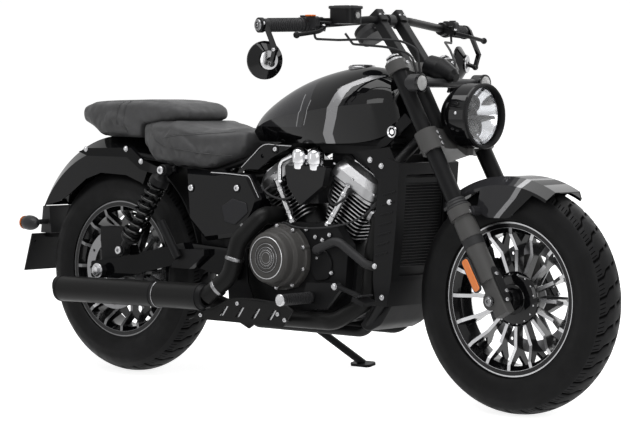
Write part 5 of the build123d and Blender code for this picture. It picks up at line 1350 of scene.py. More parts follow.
class CRUISER_OT_shocks(bpy.types.Operator):
    """Makes the rear shocks: damper, coil spring, perches, eyes and bolts"""

    bl_idname = "cruiser.shocks"
    bl_label = "Rear shocks"

    def execute(self, context):
        axis = unit(SHOCK_TOP - SHOCK_FOOT)
        long = np.linalg.norm(SHOCK_TOP - SHOCK_FOOT)
        spring = cord(helix(SHOCK_FOOT, axis, 24.5, 56, long - 50, 9.5, 0.7), 4.3, 10, aid=axis)
        body = [(11, 12), (14, 14), (14, 30), (27, 44), (28.5, 47), (28.5, 52), (24, 54), (15.5, 54), (15.5, 150),
                (17, 152), (17, 156), (6.5, 157), (6.5, 220), (15, 228)]
        top = [(14, 84), (15, 60), (24, 48), (29, 46), (29, 40), (27, 28), (18, 22), (12, 14)]
        top = [(radius, long - below) for radius, below in top]
        body, top = (turned(outline, SHOCK_FOOT, axis, 40) for outline in (body, top))
        collar = turned([(16.5, 60), (22, 61), (22, 68), (16.5, 69)], SHOCK_FOOT, axis, 24, closed=True)
        eye = [(9, -14), (15, -14), (16.5, -12), (16.5, 12), (15, 14), (9, 14)]
        bush = [(4, -15.5), (8.8, -15.5), (8.8, 15.5), (4, 15.5)]
        eyes = [turned(eye, spot, SIDE, 32, closed=True) for spot, _ in SHOCK_STUDS]
        bushes = [turned(bush, spot, SIDE, 24, closed=True) for spot, _ in SHOCK_STUDS]
        studs = [rod(spot + (0, inwards, 0), spot + (0, -15, 0), 5.5) for spot, inwards in SHOCK_STUDS]
        heads = rightward(socket_bolt(11.5, 8.0), [spot + (0, -15.6, 0) for spot, _ in SHOCK_STUDS])
        add_pieces("frame", ("shock_dampers", pair(body, top, collar, *eyes), "satin", "shock_black", "rear_shocks"),
                   ("shock_springs", pair(spring), "gloss", "shock_black"),
                   ("shock_bushes", pair(*bushes), "rubber", "shock_black"),
                   ("shock_bolts", pair(*heads, *studs), "zinc", "zinc_steel"))
        return {"FINISHED"}


# ------------------------------------------------------------------ engine
CLUTCH_COVER = [(91, 106), (91, 122), (88, 126), (84, 127), (83, 131), (82, 150), (79, 155), (75, 157), (73, 160),
                (72, 178), (70, 183), (66, 187), (60, 189.3), (56, 188.4), (54, 188.4), (51, 189.6), (44, 189.8),
                (43, 188.6), (36, 188.6), (35, 189.8), (33, 189.8), (32, 188.8), (27, 188.8), (26, 190.2),
                (0.02, 190.4)]
ALTERNATOR_COVER = [(90, 76), (90, 104), (86, 110), (74, 111), (72, 118), (66, 120.5), (40, 121), (38, 119.5),
                    (30, 119.5), (28, 121), (0.02, 121.5)]
PULLEY = [(33, 76.5), (33, 80), (31.5, 80), (31.5, 94), (33, 94), (33, 95.3), (20, 95.3), (18, 90), (0.02, 90)]
PULLEY_CENTRE = (640.0, 0.0, 360.0)
COVER_BOLTS = np.arange(9) * 2 * math.pi / 9 + 0.35
COVER_DOTS = np.arange(24) * math.pi / 12
COVER_RINGS = (14.5, 20.5, 29, 38.5)  # inner radii
CYLINDER_FOOT = ((1, 130.0), (-1, 140.0))  # front +1 or rear -1, and where its barrel starts along its axis
BARREL = 110.0


class CRUISER_OT_engine_covers(bpy.types.Operator):
    """Makes the stepped clutch cover with its lugs, bolts and rings, the alternator cover and the front pulley"""

    bl_idname = "cruiser.engine_covers"
    bl_label = "Engine covers"

    def execute(self, context):
        shells = [turned(CLUTCH_COVER, CLUTCH, RIGHT, 96), turned(ALTERNATOR_COVER, CRANK, SIDE, 96),
                  turned(PULLEY, PULLEY_CENTRE, SIDE)]
        add_piece("engine_cover_shells", shells, "bronze", "frame", ("engine_covers",), sharp=24.0)
        bosses = round_axle(CLUTCH, 86.5, COVER_BOLTS, -126.0)
        lugs = [rod(b + (0, 19, 0), b + (0, -3, 0), 7.2) for b in bosses]
        head = hex_bolt(4.6, 5.0)
        heads = rightward(head, bosses + (0, -3.2, 0))
        heads += copies(head, round_axle(CRANK, 80, COVER_BOLTS, 110.0), [SIDE] * len(COVER_BOLTS))
        rings = [hoop(r, r + 1.5, 188.2, 190.6, CLUTCH, RIGHT, 72, 0.4) for r in COVER_RINGS]
        rings += rightward(dome_bolt(1.1, 0.9), round_axle(CLUTCH, 24.6, COVER_DOTS, -190.2))
        rim = hoop(56.5, 58.6, 187.6, 190.3, CLUTCH, RIGHT, 80, 0.5)
        add_pieces("frame", ("cover_lugs", lugs, "bronze", "cover_bronze"),
                   ("cover_bolts", heads, "zinc", "zinc_steel"), ("cover_rings", rings, "shaft", "polished_alloy"),
                   ("cover_rim", rim, "zinc", "polished_alloy"))
        return {"FINISHED"}


def cylinder_frame(sign):
    """Directions along and across a cylinder; sign +1 is the front one."""
    sine, cosine = sign * math.sin(V_HALF_ANGLE), math.cos(V_HALF_ANGLE)
    return np.array((sine, 0.0, cosine)), np.array((cosine, 0.0, -sine))


def rocker_trim():
    """Ribs, gaskets and bolts of the rocker covers, and the plugs with their leads."""
    bright, dark, bolts = [], [], []
    rib = rounded_outline([(-58, 0), (58, 0), (50, 5), (-50, 5)], 2)
    for sign, start in CYLINDER_FOOT:
        along, across = cylinder_frame(sign)
        deck = start + BARREL
        gasket = rounded_box(-92.6, 92.6, -85.6, 85.6, 40, 8)
        dark.append(plate(gasket, CRANK + along * (deck + 11.4), across, SIDE, 2.4, 0.6))
        for u, v in ((-80, -73), (80, -73), (-80, 73), (80, 73), (0, -81), (0, 81)):
            bolts.append((CRANK + along * (deck + 14 + 22) + across * u * 1.02 + SIDE * v * 1.02, along))
        for v in (-40, 0, 40):
            bright.append(plate(rib, CRANK + along * (deck + 67) + SIDE * (v - 3), across, along, 6.0))
        for u in (-30, 30):
            bolts.append((CRANK + along * (deck + 71) + across * u, along))
        plug = CRANK + along * (deck + 6) + across * (sign * 10) + SIDE * -76
        out = unit(SIDE * -0.9 + across * sign * 0.3)
        dark.append(turned([(6, 0), (8.5, 4), (8.5, 20), (6.5, 26), (4, 30)], plug, out, 24))
        bright.append(turned([(9.5, -2), (9.5, 4), (7, 5)], plug, out, 6))
        lead = [plug + out * 26, plug + out * 44 + (0, 0, -10), plug + out * 30 + np.array((-sign * 50, 0, -34)),
                plug + np.array((-sign * 96, 14, -6)), plug + np.array((-sign * 100, 60, 40))]
        dark.append(cord(smooth_path(lead, 50), 3.4, 10))
    bolts = copies(dome_bolt(5.2, 4.2), *zip(*bolts))
    add_pieces("frame", ("rocker_ribs", bright, "polish", "polished_alloy"),
               ("head_gaskets_and_leads", dark, "rubber", "engine_black"),
               ("rocker_bolts", bolts, "zinc", "zinc_steel"))


def intake_domes():
    """Two acorn caps on the air box, with a bridge between them."""
    acorn = [(19, -38), (20, -36), (20, -22), (23.4, -20), (23.8, -17), (23.8, 0), (22.6, 7), (19, 13.5), (13, 18.5),
             (6, 21), (0.02, 21.4)]
    shells = [turned(acorn, spot, (0.05, -0.1, 1.0)) for spot in ((745, -101, 663), (803, -101, 661))]
    shells.append(hoop(6, 8, -12, 12, (774, -101, 656), AHEAD, 24, 0.8))
    add_piece("intake_domes", shells, "chrome", "frame")


def clutch_cable(radius):
    """Cable along the case, with its two end sleeves."""
    run = [(690, -112, 466), (704, -119, 474), (740, -124, 466), (800, -127, 463), (877, -128, 470), (950, -127, 486),
           (1000, -123, 510), (1036, -116, 545)]
    shells = [cord(smooth_path(run, 70), radius, 10), rod((684, -110, 462), (700, -117, 473), radius * 1.9),
              rod((1018, -120, 526), (1030, -117, 538), radius * 1.8)]
    add_piece("clutch_cable", shells, "rubber", "frame")


def case_trim():
    """Bosses of the case, each with its bolt, and an inspection lid."""
    spots = [(776, 459), (809, 439), (817, 382), (835, 432), (868, 344), (860, 447), (846, 300), (790, 268)]
    boss = [(7.5, -3), (7.5, 2.4), (6.6, 3.2), (0.02, 3.2)]
    lid = rounded_outline([(796, 398), (852, 404), (872, 372), (862, 326), (812, 318), (794, 348)], 14, 6)
    shells = [turned(boss, (x, -105.8, z), RIGHT, 24) for x, z in spots] + [side_plate(lid, -105.0, 7.0, 2.0)]
    bolts = rightward(hex_bolt(4.6, 4.6), [(x, -109.0, z) for x, z in spots])
    add_pieces("frame", ("case_bosses", shells, "engine", "engine_black"), ("case_bolts", bolts, "zinc", "zinc_steel"))


def push_rod_tubes():
    """Tube beside each barrel, with its collars."""
    tubes = []
    for sign, start in CYLINDER_FOOT:
        along, _ = cylinder_frame(sign)
        foot, head = CRANK + along * 128 + SIDE * -95.2, CRANK + along * (start + BARREL + 18) + SIDE * -85
        long = np.linalg.norm(head - foot)
        tube = [(12.5, 0), (12.5, 9), (10.5, 11), (9.6, 13), (9.6, 30), (11, 32), (11, 38), (9.6, 40),
                (9.6, long * 0.72), (11.4, long * 0.74), (11.4, long * 0.8), (9.6, long * 0.82), (9.6, long - 6),
                (12, long - 4), (12, long)]
        tubes.append(turned(tube, foot, unit(head - foot), 28))
    add_piece("push_rod_tubes", tubes, "polish", "frame")


class CRUISER_OT_cylinder_trim(bpy.types.Operator):
    """Makes the rocker covers' ribs, gaskets and bolts, the plugs and leads, and the trim of air box and case"""

    bl_idname = "cruiser.cylinder_trim"
    bl_label = "Cylinder trim"

    def execute(self, context):
        rocker_trim()
        intake_domes()
        clutch_cable(context.scene.cruiser_sizes.cable_radius)
        case_trim()
        push_rod_tubes()
        return {"FINISHED"}


# ------------------------------------------------------------------ exhaust, radiator, belly and body trim
MUFFLER_FRONT = np.array((488.0, -216.0, 262.0))
MUFFLER_AXIS = unit(np.array((-100.0, -222.0, 252.0)) - MUFFLER_FRONT)
MUFFLER_RADIUS = 37
MUFFLER_RINGS = ((0, 10, 2.4), (170, 7, 1.2), (181, 8, 1.4), (560, 8, 1.4))  # mm along, width, height
MUFFLER_LINE = (166, 3, 1.8)
PIPE_CLAMPS = (  # inner and outer radius, half width, middle, way
    (24.9, 27.0, 5, (612, -168, 452), (-30, -44, -68)),
    (24.9, 27.0, 5, (587, -194, 373), (-26, -8, -102)),
    (24.9, 27.0, 5, (536, -206, 290), (-74, -17, -60)),
    (22.9, 25.5, 6, (969.0, -48.0, 498.0), (33, 0, -19)),
)
GUARD_RIM = [(423, 195), (538, 242), (594, 262), (779, 257), (815, 243)]  # (X, Z)
GUARD_SCREWS = [(760, -204.0, 230), (610, -204.0, 250), (785, -204.0, 216), (470, -204.0, 209)]
GUARD_SLOTS = (540, 600, 660, 720)


def muffler_ring(at, wide, proud):
    """Ring on the muffler, by its distance along, its width and its height."""
    inner, outer = MUFFLER_RADIUS - 0.1, MUFFLER_RADIUS + proud
    return hoop(inner, outer, at, at + wide, MUFFLER_FRONT, MUFFLER_AXIS, 72, 0.8)


def on_plane(pairs, y):
    """(X, Z) pairs as points at one Y."""
    pairs = np.asarray(pairs, dtype=float)
    return np.column_stack((pairs[:, 0], np.full(len(pairs), y), pairs[:, 1]))


class CRUISER_OT_exhaust_trim(bpy.types.Operator):
    """Makes the muffler's rings and baffle, the pipes' clamps, and the guard's rim, screws and lining"""

    bl_idname = "cruiser.exhaust_trim"
    bl_label = "Exhaust trim"

    def execute(self, context):
        cone = [(24, -14), (30, -12), (36.9, 0.5), (24, 0.5)]
        rings = [muffler_ring(*ring) for ring in MUFFLER_RINGS]
        rings.append(turned(cone, MUFFLER_FRONT, MUFFLER_AXIS, closed=True))
        baffle = [hoop(17, 33.0, 500, 503, MUFFLER_FRONT, MUFFLER_AXIS, 48, 0.6),
                  hoop(15, 17, 494, 548, MUFFLER_FRONT, MUFFLER_AXIS, 40, 0.5)]
        clamps = [hoop(inner, outer, -half, half, spot, way) for inner, outer, half, spot, way in PIPE_CLAMPS]
        rim = cord(smooth_path(on_plane(GUARD_RIM, -203.4), 60), 2.3, 10, aid=ABOVE)
        slots = [rounded_outline([(x - 2.5, 210), (x + 16, 210), (x + 37, 242), (x + 18, 242)], 3) for x in GUARD_SLOTS]
        add_pieces("frame", ("muffler_line", muffler_ring(*MUFFLER_LINE), "shaft", "zinc_steel"),
                   ("muffler_rings", rings, "satin", "exhaust_black"),
                   ("muffler_baffle", baffle, "shaft", "exhaust_black"),
                   ("pipe_clamps", clamps, "shaft", "exhaust_black"),
                   ("guard_rim", rim, "exhaust", "exhaust_black"),
                   ("guard_screws", rightward(socket_bolt(6.0, 4.0), GUARD_SCREWS), "zinc", "zinc_steel"),
                   ("guard_lining", [side_plate(slot, -196.2, 2.0, 0.4) for slot in slots], "polish", "exhaust_black"))
        return {"FINISHED"}


CORE_RISE = unit((18.0, 0.0, 260.0))
CORE_FOOT = np.array((1074.0, 0.0, 352.0))
CORE_NORMAL = np.array((CORE_RISE[2], 0.0, -CORE_RISE[0]))
CORE_HALF = 84
TUBE_PITCH = 8.0
FIN_STEP = 1.5
SHROUD_BOLTS = np.array([(1056, -127.3, 640), (1085, -127.3, 545), (1036, -127.3, 372), (1062, -127.3, 290)])
LOUVRE_STEP = 27
LOUVRE_LEAN = 0.155


def core_plate(outline, thick, edge, off=0.0):
    """Plate lying on the radiator's core, its outline as (across, up) pairs from the core's foot."""
    return plate(outline, CORE_FOOT + CORE_NORMAL * off, SIDE, CORE_RISE, thick, edge)


def folded_fin(height):
    """Thin strip that zigzags between two tubes."""
    wave = np.arange(0, 2 * CORE_HALF + 0.01, FIN_STEP)
    up = height + 2.9 + 2.7 * np.where(np.arange(len(wave)) % 2 == 0, -1, 1)
    path = CORE_FOOT + CORE_NORMAL * 2.4 + (-CORE_HALF + wave)[:, None] * SIDE + up[:, None] * CORE_RISE
    return carried(path, [(-0.25, -1.1), (0.25, -1.1), (0.25, 1.1), (-0.25, 1.1)], aid=CORE_NORMAL)


class CRUISER_OT_radiator_trim(bpy.types.Operator):
    """Makes the radiator's tubes, folded fins and tanks, and the shroud's louvres and bolts"""

    bl_idname = "cruiser.radiator_trim"
    bl_label = "Radiator trim"

    def execute(self, context):
        tubes = [core_plate(rounded_box(-CORE_HALF, CORE_HALF, h, h + 2.2, 1), 3.0, 0.4, 1.4)
                 for h in np.arange(22, 240, TUBE_PITCH)]
        fins = [folded_fin(h) for h in np.arange(24.2, 236, TUBE_PITCH)]
        tanks = [core_plate(rounded_box(-93, 93, low, high, 6), 7.0, 2.0) for low, high in ((-11, 20), (242, 259))]
        tanks += [core_plate(rounded_box(s * CORE_HALF, s * 93, 14, 246, 3), 6.0, 1.5) for s in (-1, 1)]
        head = hex_bolt(6.0, 5.5)
        bolts = rightward(head, SHROUD_BOLTS) + copies(head, SHROUD_BOLTS * (1, -1, 1), [SIDE] * len(SHROUD_BOLTS))
        rib = rounded_outline([(-4, -3), (38, 7), (38, 12), (-4, 2)], 2)
        louvres = [plate(rib, (1042 + up * LOUVRE_LEAN, -127.0, 402 + up), AHEAD, ABOVE, 2.6, 0.9)
                   for up in LOUVRE_STEP * np.arange(7)]
        add_pieces("frame", ("radiator_tubes", tubes, "core", "radiator_core"),
                   ("radiator_fins", fins, "core", "radiator_core"),
                   ("radiator_tanks", tanks, "satin", "radiator_core"),
                   ("shroud_bolts", bolts, "zinc", "zinc_steel"),
                   ("shroud_louvres", pair(*louvres), "satin", "gloss_black"))
        return {"FINISHED"}


def centred(outline, thick, edge):
    """Plate of an (X, Z) outline, across the middle plane."""
    return side_plate(outline, thick / 2, thick, edge)


class CRUISER_OT_belly(bpy.types.Operator):
    """Makes the cowl and its edge, the engine's pan, the inner mudguard, the battery box and the throttle body"""

    bl_idname = "cruiser.belly"
    bl_label = "Belly"

    def execute(self, context):
        side = [(1070, 345), (1078, 322), (1068, 268), (1030, 212), (985, 190), (955, 205), (990, 250), (1022, 300),
                (1036, 345)]
        cowl = centred(rounded_outline(side, 14, 6), 186.0, 3.0)
        edge = plate(rounded_box(-92, 92, -6, 7, 3), (1075.6, 0, 338.5), SIDE, (0.07, 0, 1.0), 8.0, 1.0)
        mount = [(508, 212), (604, 196), (616, 262), (610, 352), (520, 372), (500, 262)]
        bottom = [(640, 214), (880, 214), (896, 240), (880, 262), (636, 262), (622, 238)]
        rib = rounded_box(-2.5, 2.5, 208, 222, 1)
        pan = [centred(rounded_outline(mount, 12, 6), 120.0, 3.0), centred(rounded_outline(bottom, 16, 6), 124.0, 4.0)]
        pan += [plate(rib, (x, 58.0, 0), AHEAD, ABOVE, 116.0, 1.0) for x in np.arange(662, 872, 22.0)]
        sweep = np.radians(np.linspace(14, 82, 40))
        arc = [np.stack((r * np.cos(a), REAR_RADIUS + r * np.sin(a)), axis=1)
               for r, a in ((354, sweep), (350, sweep[::-1]))]
        tray = [(356, 386), (470, 386), (470, 596), (370, 596), (350, 500)]
        throttle = [rod((874, -52, 642), (874, 52, 642), 22.0, 40, 2.0),
                    centred(rounded_outline([(812, 628), (962, 628), (944, 672), (812, 672)], 8), 92.0, 3.0),
                    hoop(16, 25, -6, 0, (874, -50, 642), RIGHT, 40),
                    centred(rounded_outline([(760, 684), (1036, 684), (1030, 712), (770, 708)], 5), 116.0, 2.0)]
        plugs = rightward(hex_bolt(7.5, 6), [(760, -62.4, 238), (846, -62.4, 238), (700, -62.4, 238)])
        add_pieces("frame", ("belly_cowl", cowl, "satin", "frame_black"), ("belly_edge", edge, "fork", "strut_grey"),
                   ("engine_pan", pan, "engine", "engine_black"),
                   ("inner_mudguard", centred(np.vstack(arc), 168.0, 0.8), "satin", "frame_black"),
                   ("battery_box", centred(rounded_outline(tray, 14, 6), 172.0, 3.0), "satin", "frame_black"),
                   ("throttle_body", throttle, "engine", "engine_black"),
                   ("engine_pan_plugs", plugs, "zinc", "zinc_steel"))
        return {"FINISHED"}


COVER_BOSSES = [(545, -139.8, 565), (368, -139.8, 560)]
PANEL_BOSS = (668, -117.8, 676)
BODY_BOLTS = [(-86, -119.8, 660), (83, -119.8, 664), (145, -119.8, 629), (245, -119.8, 597), (993, -98.8, 654),
              (1050, -98.8, 622)]
PEG = (822, -140, 276)
LOCK = np.array((1053.0, -79.0, 730.0))
FILLER = (880.0, 0.0, 908.0)


def cover_trim():
    """Bright cords on the side covers' top edges, which are painted highlights, and on a line of the frame covers, and
    bosses and bolts of the side and frame covers, fender struts and tank block.
    """
    # painted highlight: a polished cord along the side cover's top edge stands for the highlight strip along it
    edge = [(440, -134.5, 606), (500, -134.5, 604.5), (560, -134.5, 601), (584, -134.8, 598), (606, -134.8, 566),
            (622, -134.5, 541)]
    panel = on_plane([(541, 622), (580, 654), (626, 687), (680, 687), (728, 686)], -118.3)
    bosses = [hoop(9.5, 12.5, -1, 3.4, spot, RIGHT, 40, 1.2) for spot in (*COVER_BOSSES, PANEL_BOSS)]
    heads = rightward(socket_bolt(9.0, 4.6), COVER_BOSSES) + rightward(socket_bolt(6.5, 3.6), [PANEL_BOSS])
    heads += rightward(hex_bolt(6.5, 5.0), BODY_BOLTS) + rightward(hex_bolt(5, 4), [(620, -102.2, 656)])
    edge_highlight_and_panel_lines = pair(cord(smooth_path(edge, 60), 1.5), cord(smooth_path(panel, 50), 1.2))
    add_pieces("frame", ("cover_edges", edge_highlight_and_panel_lines, "polish", "zinc_steel"),
               ("cover_bosses", pair(*bosses), "satin", "gloss_black"),
               ("body_bolts", pair(*heads), "zinc", "zinc_steel"))


def foot_trim():
    """Ribbed rubbers and ends of the pegs, pads and pins of the pedals, and the rear axle's nuts."""
    nuts = rightward(hex_bolt(14.0, 10.4), [(0, -156.0, REAR_RADIUS)])
    nuts.append(hoop(9.2, 21, 0, 3.0, (0, -153.5, REAR_RADIUS), RIGHT, 40, 0.8))
    t = np.linspace(4, 122, 178)
    ribs = 13.2 + 2.6 * (np.cos(2 * math.pi * t / 9.0) > -0.45)
    outline = np.vstack(((13.1, 3.6), np.column_stack((ribs, t)), (13.1, 122.4)))
    tip = [(12.8, 120), (16.2, 123), (16.2, 127), (13, 129.4), (0.02, 129.8)]
    pads = [rod((1040 + dx, -174, 290.5 + dx * 0.33), (1040 + dx, -222, 290.5 + dx * 0.33), 2.4, 10)
            for dx in (4, 12, 20, 28)]
    pins = rightward(hex_bolt(7.5, 6), [(916, -152.4, 312), (826, -124.4, 250)])
    add_pieces("frame", ("rear_axle_nuts", pair(*nuts), "zinc", "zinc_steel"),
               ("peg_rubbers", pair(turned(outline, PEG, RIGHT, 32)), "rubber", "grip_rubber"),
               ("peg_ends", pair(turned(tip, PEG, RIGHT, 32)), "polish", "zinc_steel"),
               ("pedal_pads", pair(*pads), "rubber", "grip_rubber"), ("pedal_pins", pair(*pins), "zinc", "zinc_steel"))


def cover_swells():
    """Raised six-sided fields on the side covers."""
    outline = [(488, 512), (530, 536), (582, 524), (588, 498), (540, 462), (500, 470)]
    swells = pair(side_plate(rounded_outline(outline, 4, 4), -139.6, 3.0, 1.6))
    add_pieces("frame", ("side_cover_swells", swells, "panel", "gloss_black"))


def lock_and_cap():
    """Ignition lock with its key slot, and the ring and lid of the tank's cap."""
    collar = [(11, -1), (16.4, -1), (16.8, 1), (15.4, 3.6), (12.4, 4.4), (11, 3)]
    lock = [turned(collar, LOCK, RIGHT, closed=True),
            turned([(7.2, -0.4), (7.2, 2.2), (6.2, 3.0), (0.02, 3.0)], LOCK, RIGHT, 32),
            plate([(-0.9, -4.6), (0.9, -4.6), (0.9, 4.6), (-0.9, 4.6)], LOCK + (0, -3.0, 0), AHEAD, ABOVE, 0.6, 0.1)]
    ring = [(34.0, -13), (37.5, -12), (38, -4), (36, -1.5), (34.0, -1.0)]
    lid = [(28, -0.5), (28, 1.2), (25, 2.4), (8, 3.0), (0.02, 3.1)]
    cap = [turned(ring, FILLER, ABOVE, 64, closed=True), turned(lid, FILLER, ABOVE, 64)]
    add_pieces("frame", ("ignition_lock", lock, "chrome", "zinc_steel"), ("tank_cap_rings", cap, "shaft", "cap_black"))


class CRUISER_OT_body_trim(bpy.types.Operator):
    """Makes the covers' edges, bosses and bolts, the pegs' rubbers, the pedals' pads, the lock and the tank's cap"""

    bl_idname = "cruiser.body_trim"
    bl_label = "Body trim"

    def execute(self, context):
        for make in (cover_trim, foot_trim, cover_swells, lock_and_cap):
            make()
        return {"FINISHED"}


# ------------------------------------------------------------------ handlebar controls, mirrors and meter
BAR_STATIONS = np.array([(899.0, 425.0, 1008.0), (938.0, 286.0, 1012.0), (974.0, 82.0, 1029.0)])
SWITCH_AT = 132.3  # mm in along the bar
SWITCH_SEAM_AT = 122.8
LEVER_AT = 155.0
FLUID_BOX_AT = 176.0
RISERS = [(974, y, 1029) for y in (-42, 42)]
METER_TOP = np.array((905.0, 0.0, 1010.0))
METER_OUT = np.array((-0.6, 0.0, 0.8))
METER_UP = np.array((0.8, 0.0, 0.6))
METER_SWEEP = 2.2  # radians to each side
MIRROR_CENTRE = np.array((890.0, -410.0, 917.0))
MIRROR_FACING = unit((0.927, -0.373, 0.0))
MIRROR_SCREWS = [(949, -437.6, 944), (937, -437.6, 908), (914, -437.6, 1012)]


def bar_point(distance, side=-1):
    """Place on the bar's middle line, a distance in from its end, and the bar's inward direction there."""
    end, bend, middle = BAR_STATIONS
    reach = np.linalg.norm(bend - end)
    a, b, rest = (end, bend, distance) if distance <= reach else (bend, middle, distance - reach)
    way = unit(b - a)
    flip = np.array((1, side, 1))
    return (a + way * rest) * flip, way * flip


def grip_trim():
    """Ribbed grips and the bar's end rings."""
    start, way = bar_point(0)
    t = np.linspace(6, 116, 221)
    ribbed = (t > 12) & (t < 108)
    ribs = 17.0 + 1.5 * np.clip(np.cos(2 * math.pi * t / 5.5) * 2.2, -0.2, 1.0) * ribbed + 2.4 * (t > 112)
    grip = turned(np.vstack((np.column_stack((ribs, t)), (16.6, 118))), start, way)
    end = turned([(9, -18.5), (14, -18), (15.6, -15.5), (15.6, -13.2), (9, -13.2)], start, way, 40, closed=True)
    screw = copies(socket_bolt(6.5, 4), [start - way * 15.5], [-way])
    add_pieces("steering", ("grip_ribs", pair(grip), "rubber", "grip_rubber"),
               ("bar_end_rings", pair(end, *screw), "shaft", "zinc_steel"))


def switch_trim():
    """Seams, rockers and horn buttons of both switch housings, the stop switch and the signal switch."""
    spot = bar_point(SWITCH_AT)[0]
    seam = hoop(20.8, 22.4, 8.4, 10.6, *bar_point(SWITCH_SEAM_AT), 40, 0.5)
    rocker = level_plate(rounded_box(-7, 7, -5, 5, 2), spot + (-4, -7, 20), 4.6, 1.2)
    horn = turned([(5.5, -2), (5.5, 2.4), (4.4, 3.4), (0.02, 3.6)], spot + (-16, -2, 15), (-0.6, 0, 0.8), 24)
    stop = level_plate(rounded_box(-12, 12, -10, 10, 4), spot + (24, -8.5, 21.6), 4.0, 1.0)
    signal = level_plate(rounded_box(-9, 9, -6, 6, 3), spot + (22, -3, 21.6), 4.0, 1.0)
    add_pieces("steering", ("switch_blocks", pair(seam, rocker, horn), "plastic", "switch_plastic"),
               ("kill_switch", stop, "orange", "switch_plastic"),
               ("signal_switch", mirrored(signal), "plastic", "switch_plastic"))


def lever_trim():
    """Pivots of the hand levers and the cables' adjusters."""
    spot = bar_point(LEVER_AT)[0]
    pivots = copies(socket_bolt(6.0, 4.5), [spot + (42, -4, -4.5), spot + (-14, 0, 12)], [ABOVE, (-0.5, 0, 0.8)])
    adjuster = rod(spot + (24, -2, 5), spot + (52, 16, 4), 4.0)
    add_pieces("steering", ("lever_pivots", pair(*pivots), "zinc", "zinc_steel"),
               ("lever_adjusters", pair(adjuster), "satin", "zinc_steel"))


def fluid_box_trim():
    """Lid, screws and window of the brake's fluid box."""
    top = bar_point(FLUID_BOX_AT)[0] + (72, 24, 44)
    front = top + (39.0, 0, -22)
    lid = [level_plate(rounded_box(-41, 41, -30, 30, 15, 7), top + (0, 0, -5), 8.0, 1.6),
           level_plate(rounded_box(-30, 30, -20, 20, 10, 6), top + (0, 0, 2.4), 1.8, 0.8),
           turned([(11.5, -1), (11.5, 2.4), (9.5, 3.4), (8.2, 3.4)], front, AHEAD, 32)]
    corners = [top + (33 * a, 22 * b, 2.8) for a, b in ((-1, -1), (1, 1), (1, -1), (-1, 1))]
    pane = turned([(8.4, 1), (8.0, 4.0), (0.02, 4.8)], front, AHEAD, 32)
    add_pieces("steering", ("fluid_box_lid", lid, "plastic", "lamp_plastic"),
               ("fluid_box_screws", copies(dome_bolt(3.2, 1.6), corners, [ABOVE] * 4), "zinc", "zinc_steel"),
               ("fluid_box_pane", pane, "smoke", "lens_glass"))


def riser_trim():
    """Clamps of the bar's risers, each with four bolts."""
    clamps = [hoop(11.2, 17.5, -7, 7, spot, SIDE, 40, 1.5) for spot in RISERS]
    spots = [(x + a, y + b, 1044.5) for x, y, _ in RISERS for a in (-9, 9) for b in (-9, 9)]
    add_pieces("steering", ("riser_clamps", clamps, "satin", "cap_black"),
               ("riser_bolts", copies(hex_bolt(4.0, 4.0), spots, [ABOVE] * len(spots)), "zinc", "zinc_steel"))


class CRUISER_OT_controls(bpy.types.Operator):
    """Makes the grips' ribs, the end rings, switches, lever pivots, the fluid box's lid and the risers' clamps"""

    bl_idname = "cruiser.controls"
    bl_label = "Controls"

    def execute(self, context):
        for make in (grip_trim, switch_trim, lever_trim, fluid_box_trim, riser_trim):
            make()
        return {"FINISHED"}


class CRUISER_OT_mirror_trim(bpy.types.Operator):
    """Makes the mirrors' glass, their rims, back caps and pivot screws"""

    bl_idname = "cruiser.mirror_trim"
    bl_label = "Mirror trim"

    def execute(self, context):
        glass = turned([(45.4, 3.6), (45.0, 1.6), (0.02, 1.2), (0.02, 3.6)], MIRROR_CENTRE, MIRROR_FACING, 72)
        rim = [(44.8, 0.2), (47, -1.0), (50.4, 0.4), (50.6, 3), (50.3, 7), (47, 2), (45, 2)]
        cap = [(20, 29.8), (25.4, 30.0), (24.6, 31.6), (20, 33.0), (8, 33.4), (7, 30)]
        rim, cap = (turned(outline, MIRROR_CENTRE, MIRROR_FACING, steps, closed=True)
                    for outline, steps in ((rim, 80), (cap, 56)))
        screws = rightward(socket_bolt(5.0, 3.4), MIRROR_SCREWS)
        add_pieces("steering", ("mirror_glass", pair(glass), "chrome", "lens_glass"),
                   ("mirror_rims", pair(rim), "gloss", "gloss_black"),
                   ("mirror_caps", pair(cap, *screws), "polish", "zinc_steel"))
        return {"FINISHED"}


def dial_mark(outline, turn, proud):
    """Flat mark on the dial, its outline as (across, outwards) pairs, turned from the top."""
    way = math.sin(turn) * RIGHT + math.cos(turn) * METER_UP
    edge = 0.1 if proud < 1 else 0.2
    return plate(outline, METER_TOP + METER_OUT * proud, np.cross(way, METER_OUT), way, 0.8, edge)


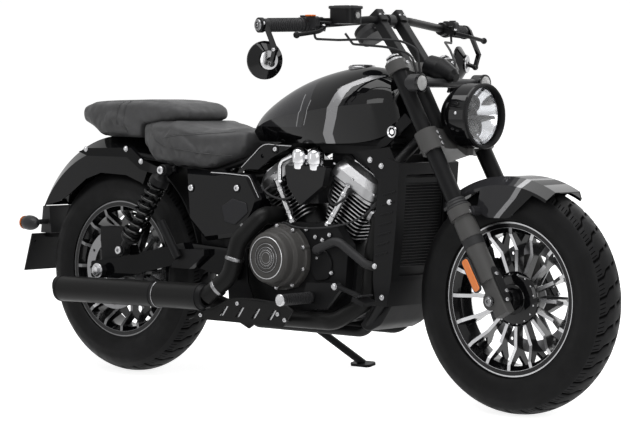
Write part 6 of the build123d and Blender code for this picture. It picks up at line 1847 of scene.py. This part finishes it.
class CRUISER_OT_meter(bpy.types.Operator):
    """Makes the meter's bezel, dial, marks, needle, display and glass"""

    bl_idname = "cruiser.meter"
    bl_label = "Meter"

    def execute(self, context):
        bezel = [(38.5, -1.0), (38.5, 2.4), (41, 4.2), (44, 4.0), (45.8, 2), (46.0, -6), (44.6, -7)]
        dial = [turned([(38.4, -0.8), (38.4, 0.5), (0.02, 0.5)], METER_TOP, METER_OUT, 64),
                turned([(4.6, 0.4), (4.6, 3.0), (3.4, 3.8), (0.02, 4.0)], METER_TOP, METER_OUT, 24)]
        marks = []
        for k, turn in enumerate(np.linspace(-METER_SWEEP, METER_SWEEP, 33)):
            wide, low = (0.9, 28.5) if k % 4 == 0 else (0.45, 31.5)
            marks.append(dial_mark([(-wide, low), (wide, low), (wide, 35), (-wide, 35)], turn, 0.3))
        marks.append(dial_mark([(-1.1, -7), (1.1, -7), (0.4, 29), (-0.4, 29)], -METER_SWEEP, 1.6))
        screen = plate(rounded_box(-15, 15, -24, -11, 2), METER_TOP + METER_OUT * 0.3, RIGHT, METER_UP, 1.0, 0.2)
        glass = turned([(38.6, 2.4), (30, 3.5), (0.02, 4.6), (0.02, 4.1)], METER_TOP, METER_OUT, 64)
        bezel = turned(bezel, METER_TOP, METER_OUT, 72, closed=True)
        add_pieces("steering", ("meter_bezel", bezel, "satin", "lamp_plastic"),
                   ("meter_dial", dial, "plastic", "lamp_plastic"), ("meter_marks", marks, "white", "lamp_plastic"),
                   ("meter_screen", screen, "screen", "lamp_plastic"), ("meter_glass", glass, "glass", "lens_glass"))
        return {"FINISHED"}


# ------------------------------------------------------------------ the add-on
PIECE_OPERATORS = (
    CRUISER_OT_node_finishes,
    CRUISER_OT_tyres,
    CRUISER_OT_seats,
    CRUISER_OT_wheel_trim,
    CRUISER_OT_fork_trim,
    CRUISER_OT_lamps,
    CRUISER_OT_shocks,
    CRUISER_OT_engine_covers,
    CRUISER_OT_cylinder_trim,
    CRUISER_OT_exhaust_trim,
    CRUISER_OT_radiator_trim,
    CRUISER_OT_belly,
    CRUISER_OT_body_trim,
    CRUISER_OT_controls,
    CRUISER_OT_mirror_trim,
    CRUISER_OT_meter,
    CRUISER_OT_stage,
)
SETTINGS = (CruiserSizes, CruiserColours)


class CRUISER_PT_panel(bpy.types.Panel):
    """Lists the operators that dress the machine"""

    bl_idname = "CRUISER_PT_panel"
    bl_label = "Cruiser motorcycle"
    bl_space_type = "VIEW_3D"
    bl_region_type = "UI"
    bl_category = "Cruiser"

    def draw(self, context):
        for operator in PIECE_OPERATORS:
            self.layout.operator(operator.bl_idname)
        for settings in (context.scene.cruiser_sizes, context.scene.cruiser_colours):
            for name in settings.__annotations__:
                self.layout.prop(settings, name)


def register():
    """Registers the settings, the operators and the panel."""
    for kind in SETTINGS + PIECE_OPERATORS + (CRUISER_PT_panel,):
        bpy.utils.register_class(kind)
    bpy.types.Scene.cruiser_sizes = bpy.props.PointerProperty(type=CruiserSizes)
    bpy.types.Scene.cruiser_colours = bpy.props.PointerProperty(type=CruiserColours)


def unregister():
    """Takes everything out again."""
    del bpy.types.Scene.cruiser_colours
    del bpy.types.Scene.cruiser_sizes
    for kind in reversed(SETTINGS + PIECE_OPERATORS + (CRUISER_PT_panel,)):
        bpy.utils.unregister_class(kind)


def main():
    """Registers the add-on and runs its operators in order."""
    register()
    for operator in PIECE_OPERATORS:
        group, name = operator.bl_idname.split(".")
        getattr(getattr(bpy.ops, group), name)()
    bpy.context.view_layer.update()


if __name__ == "__main__":
    main()
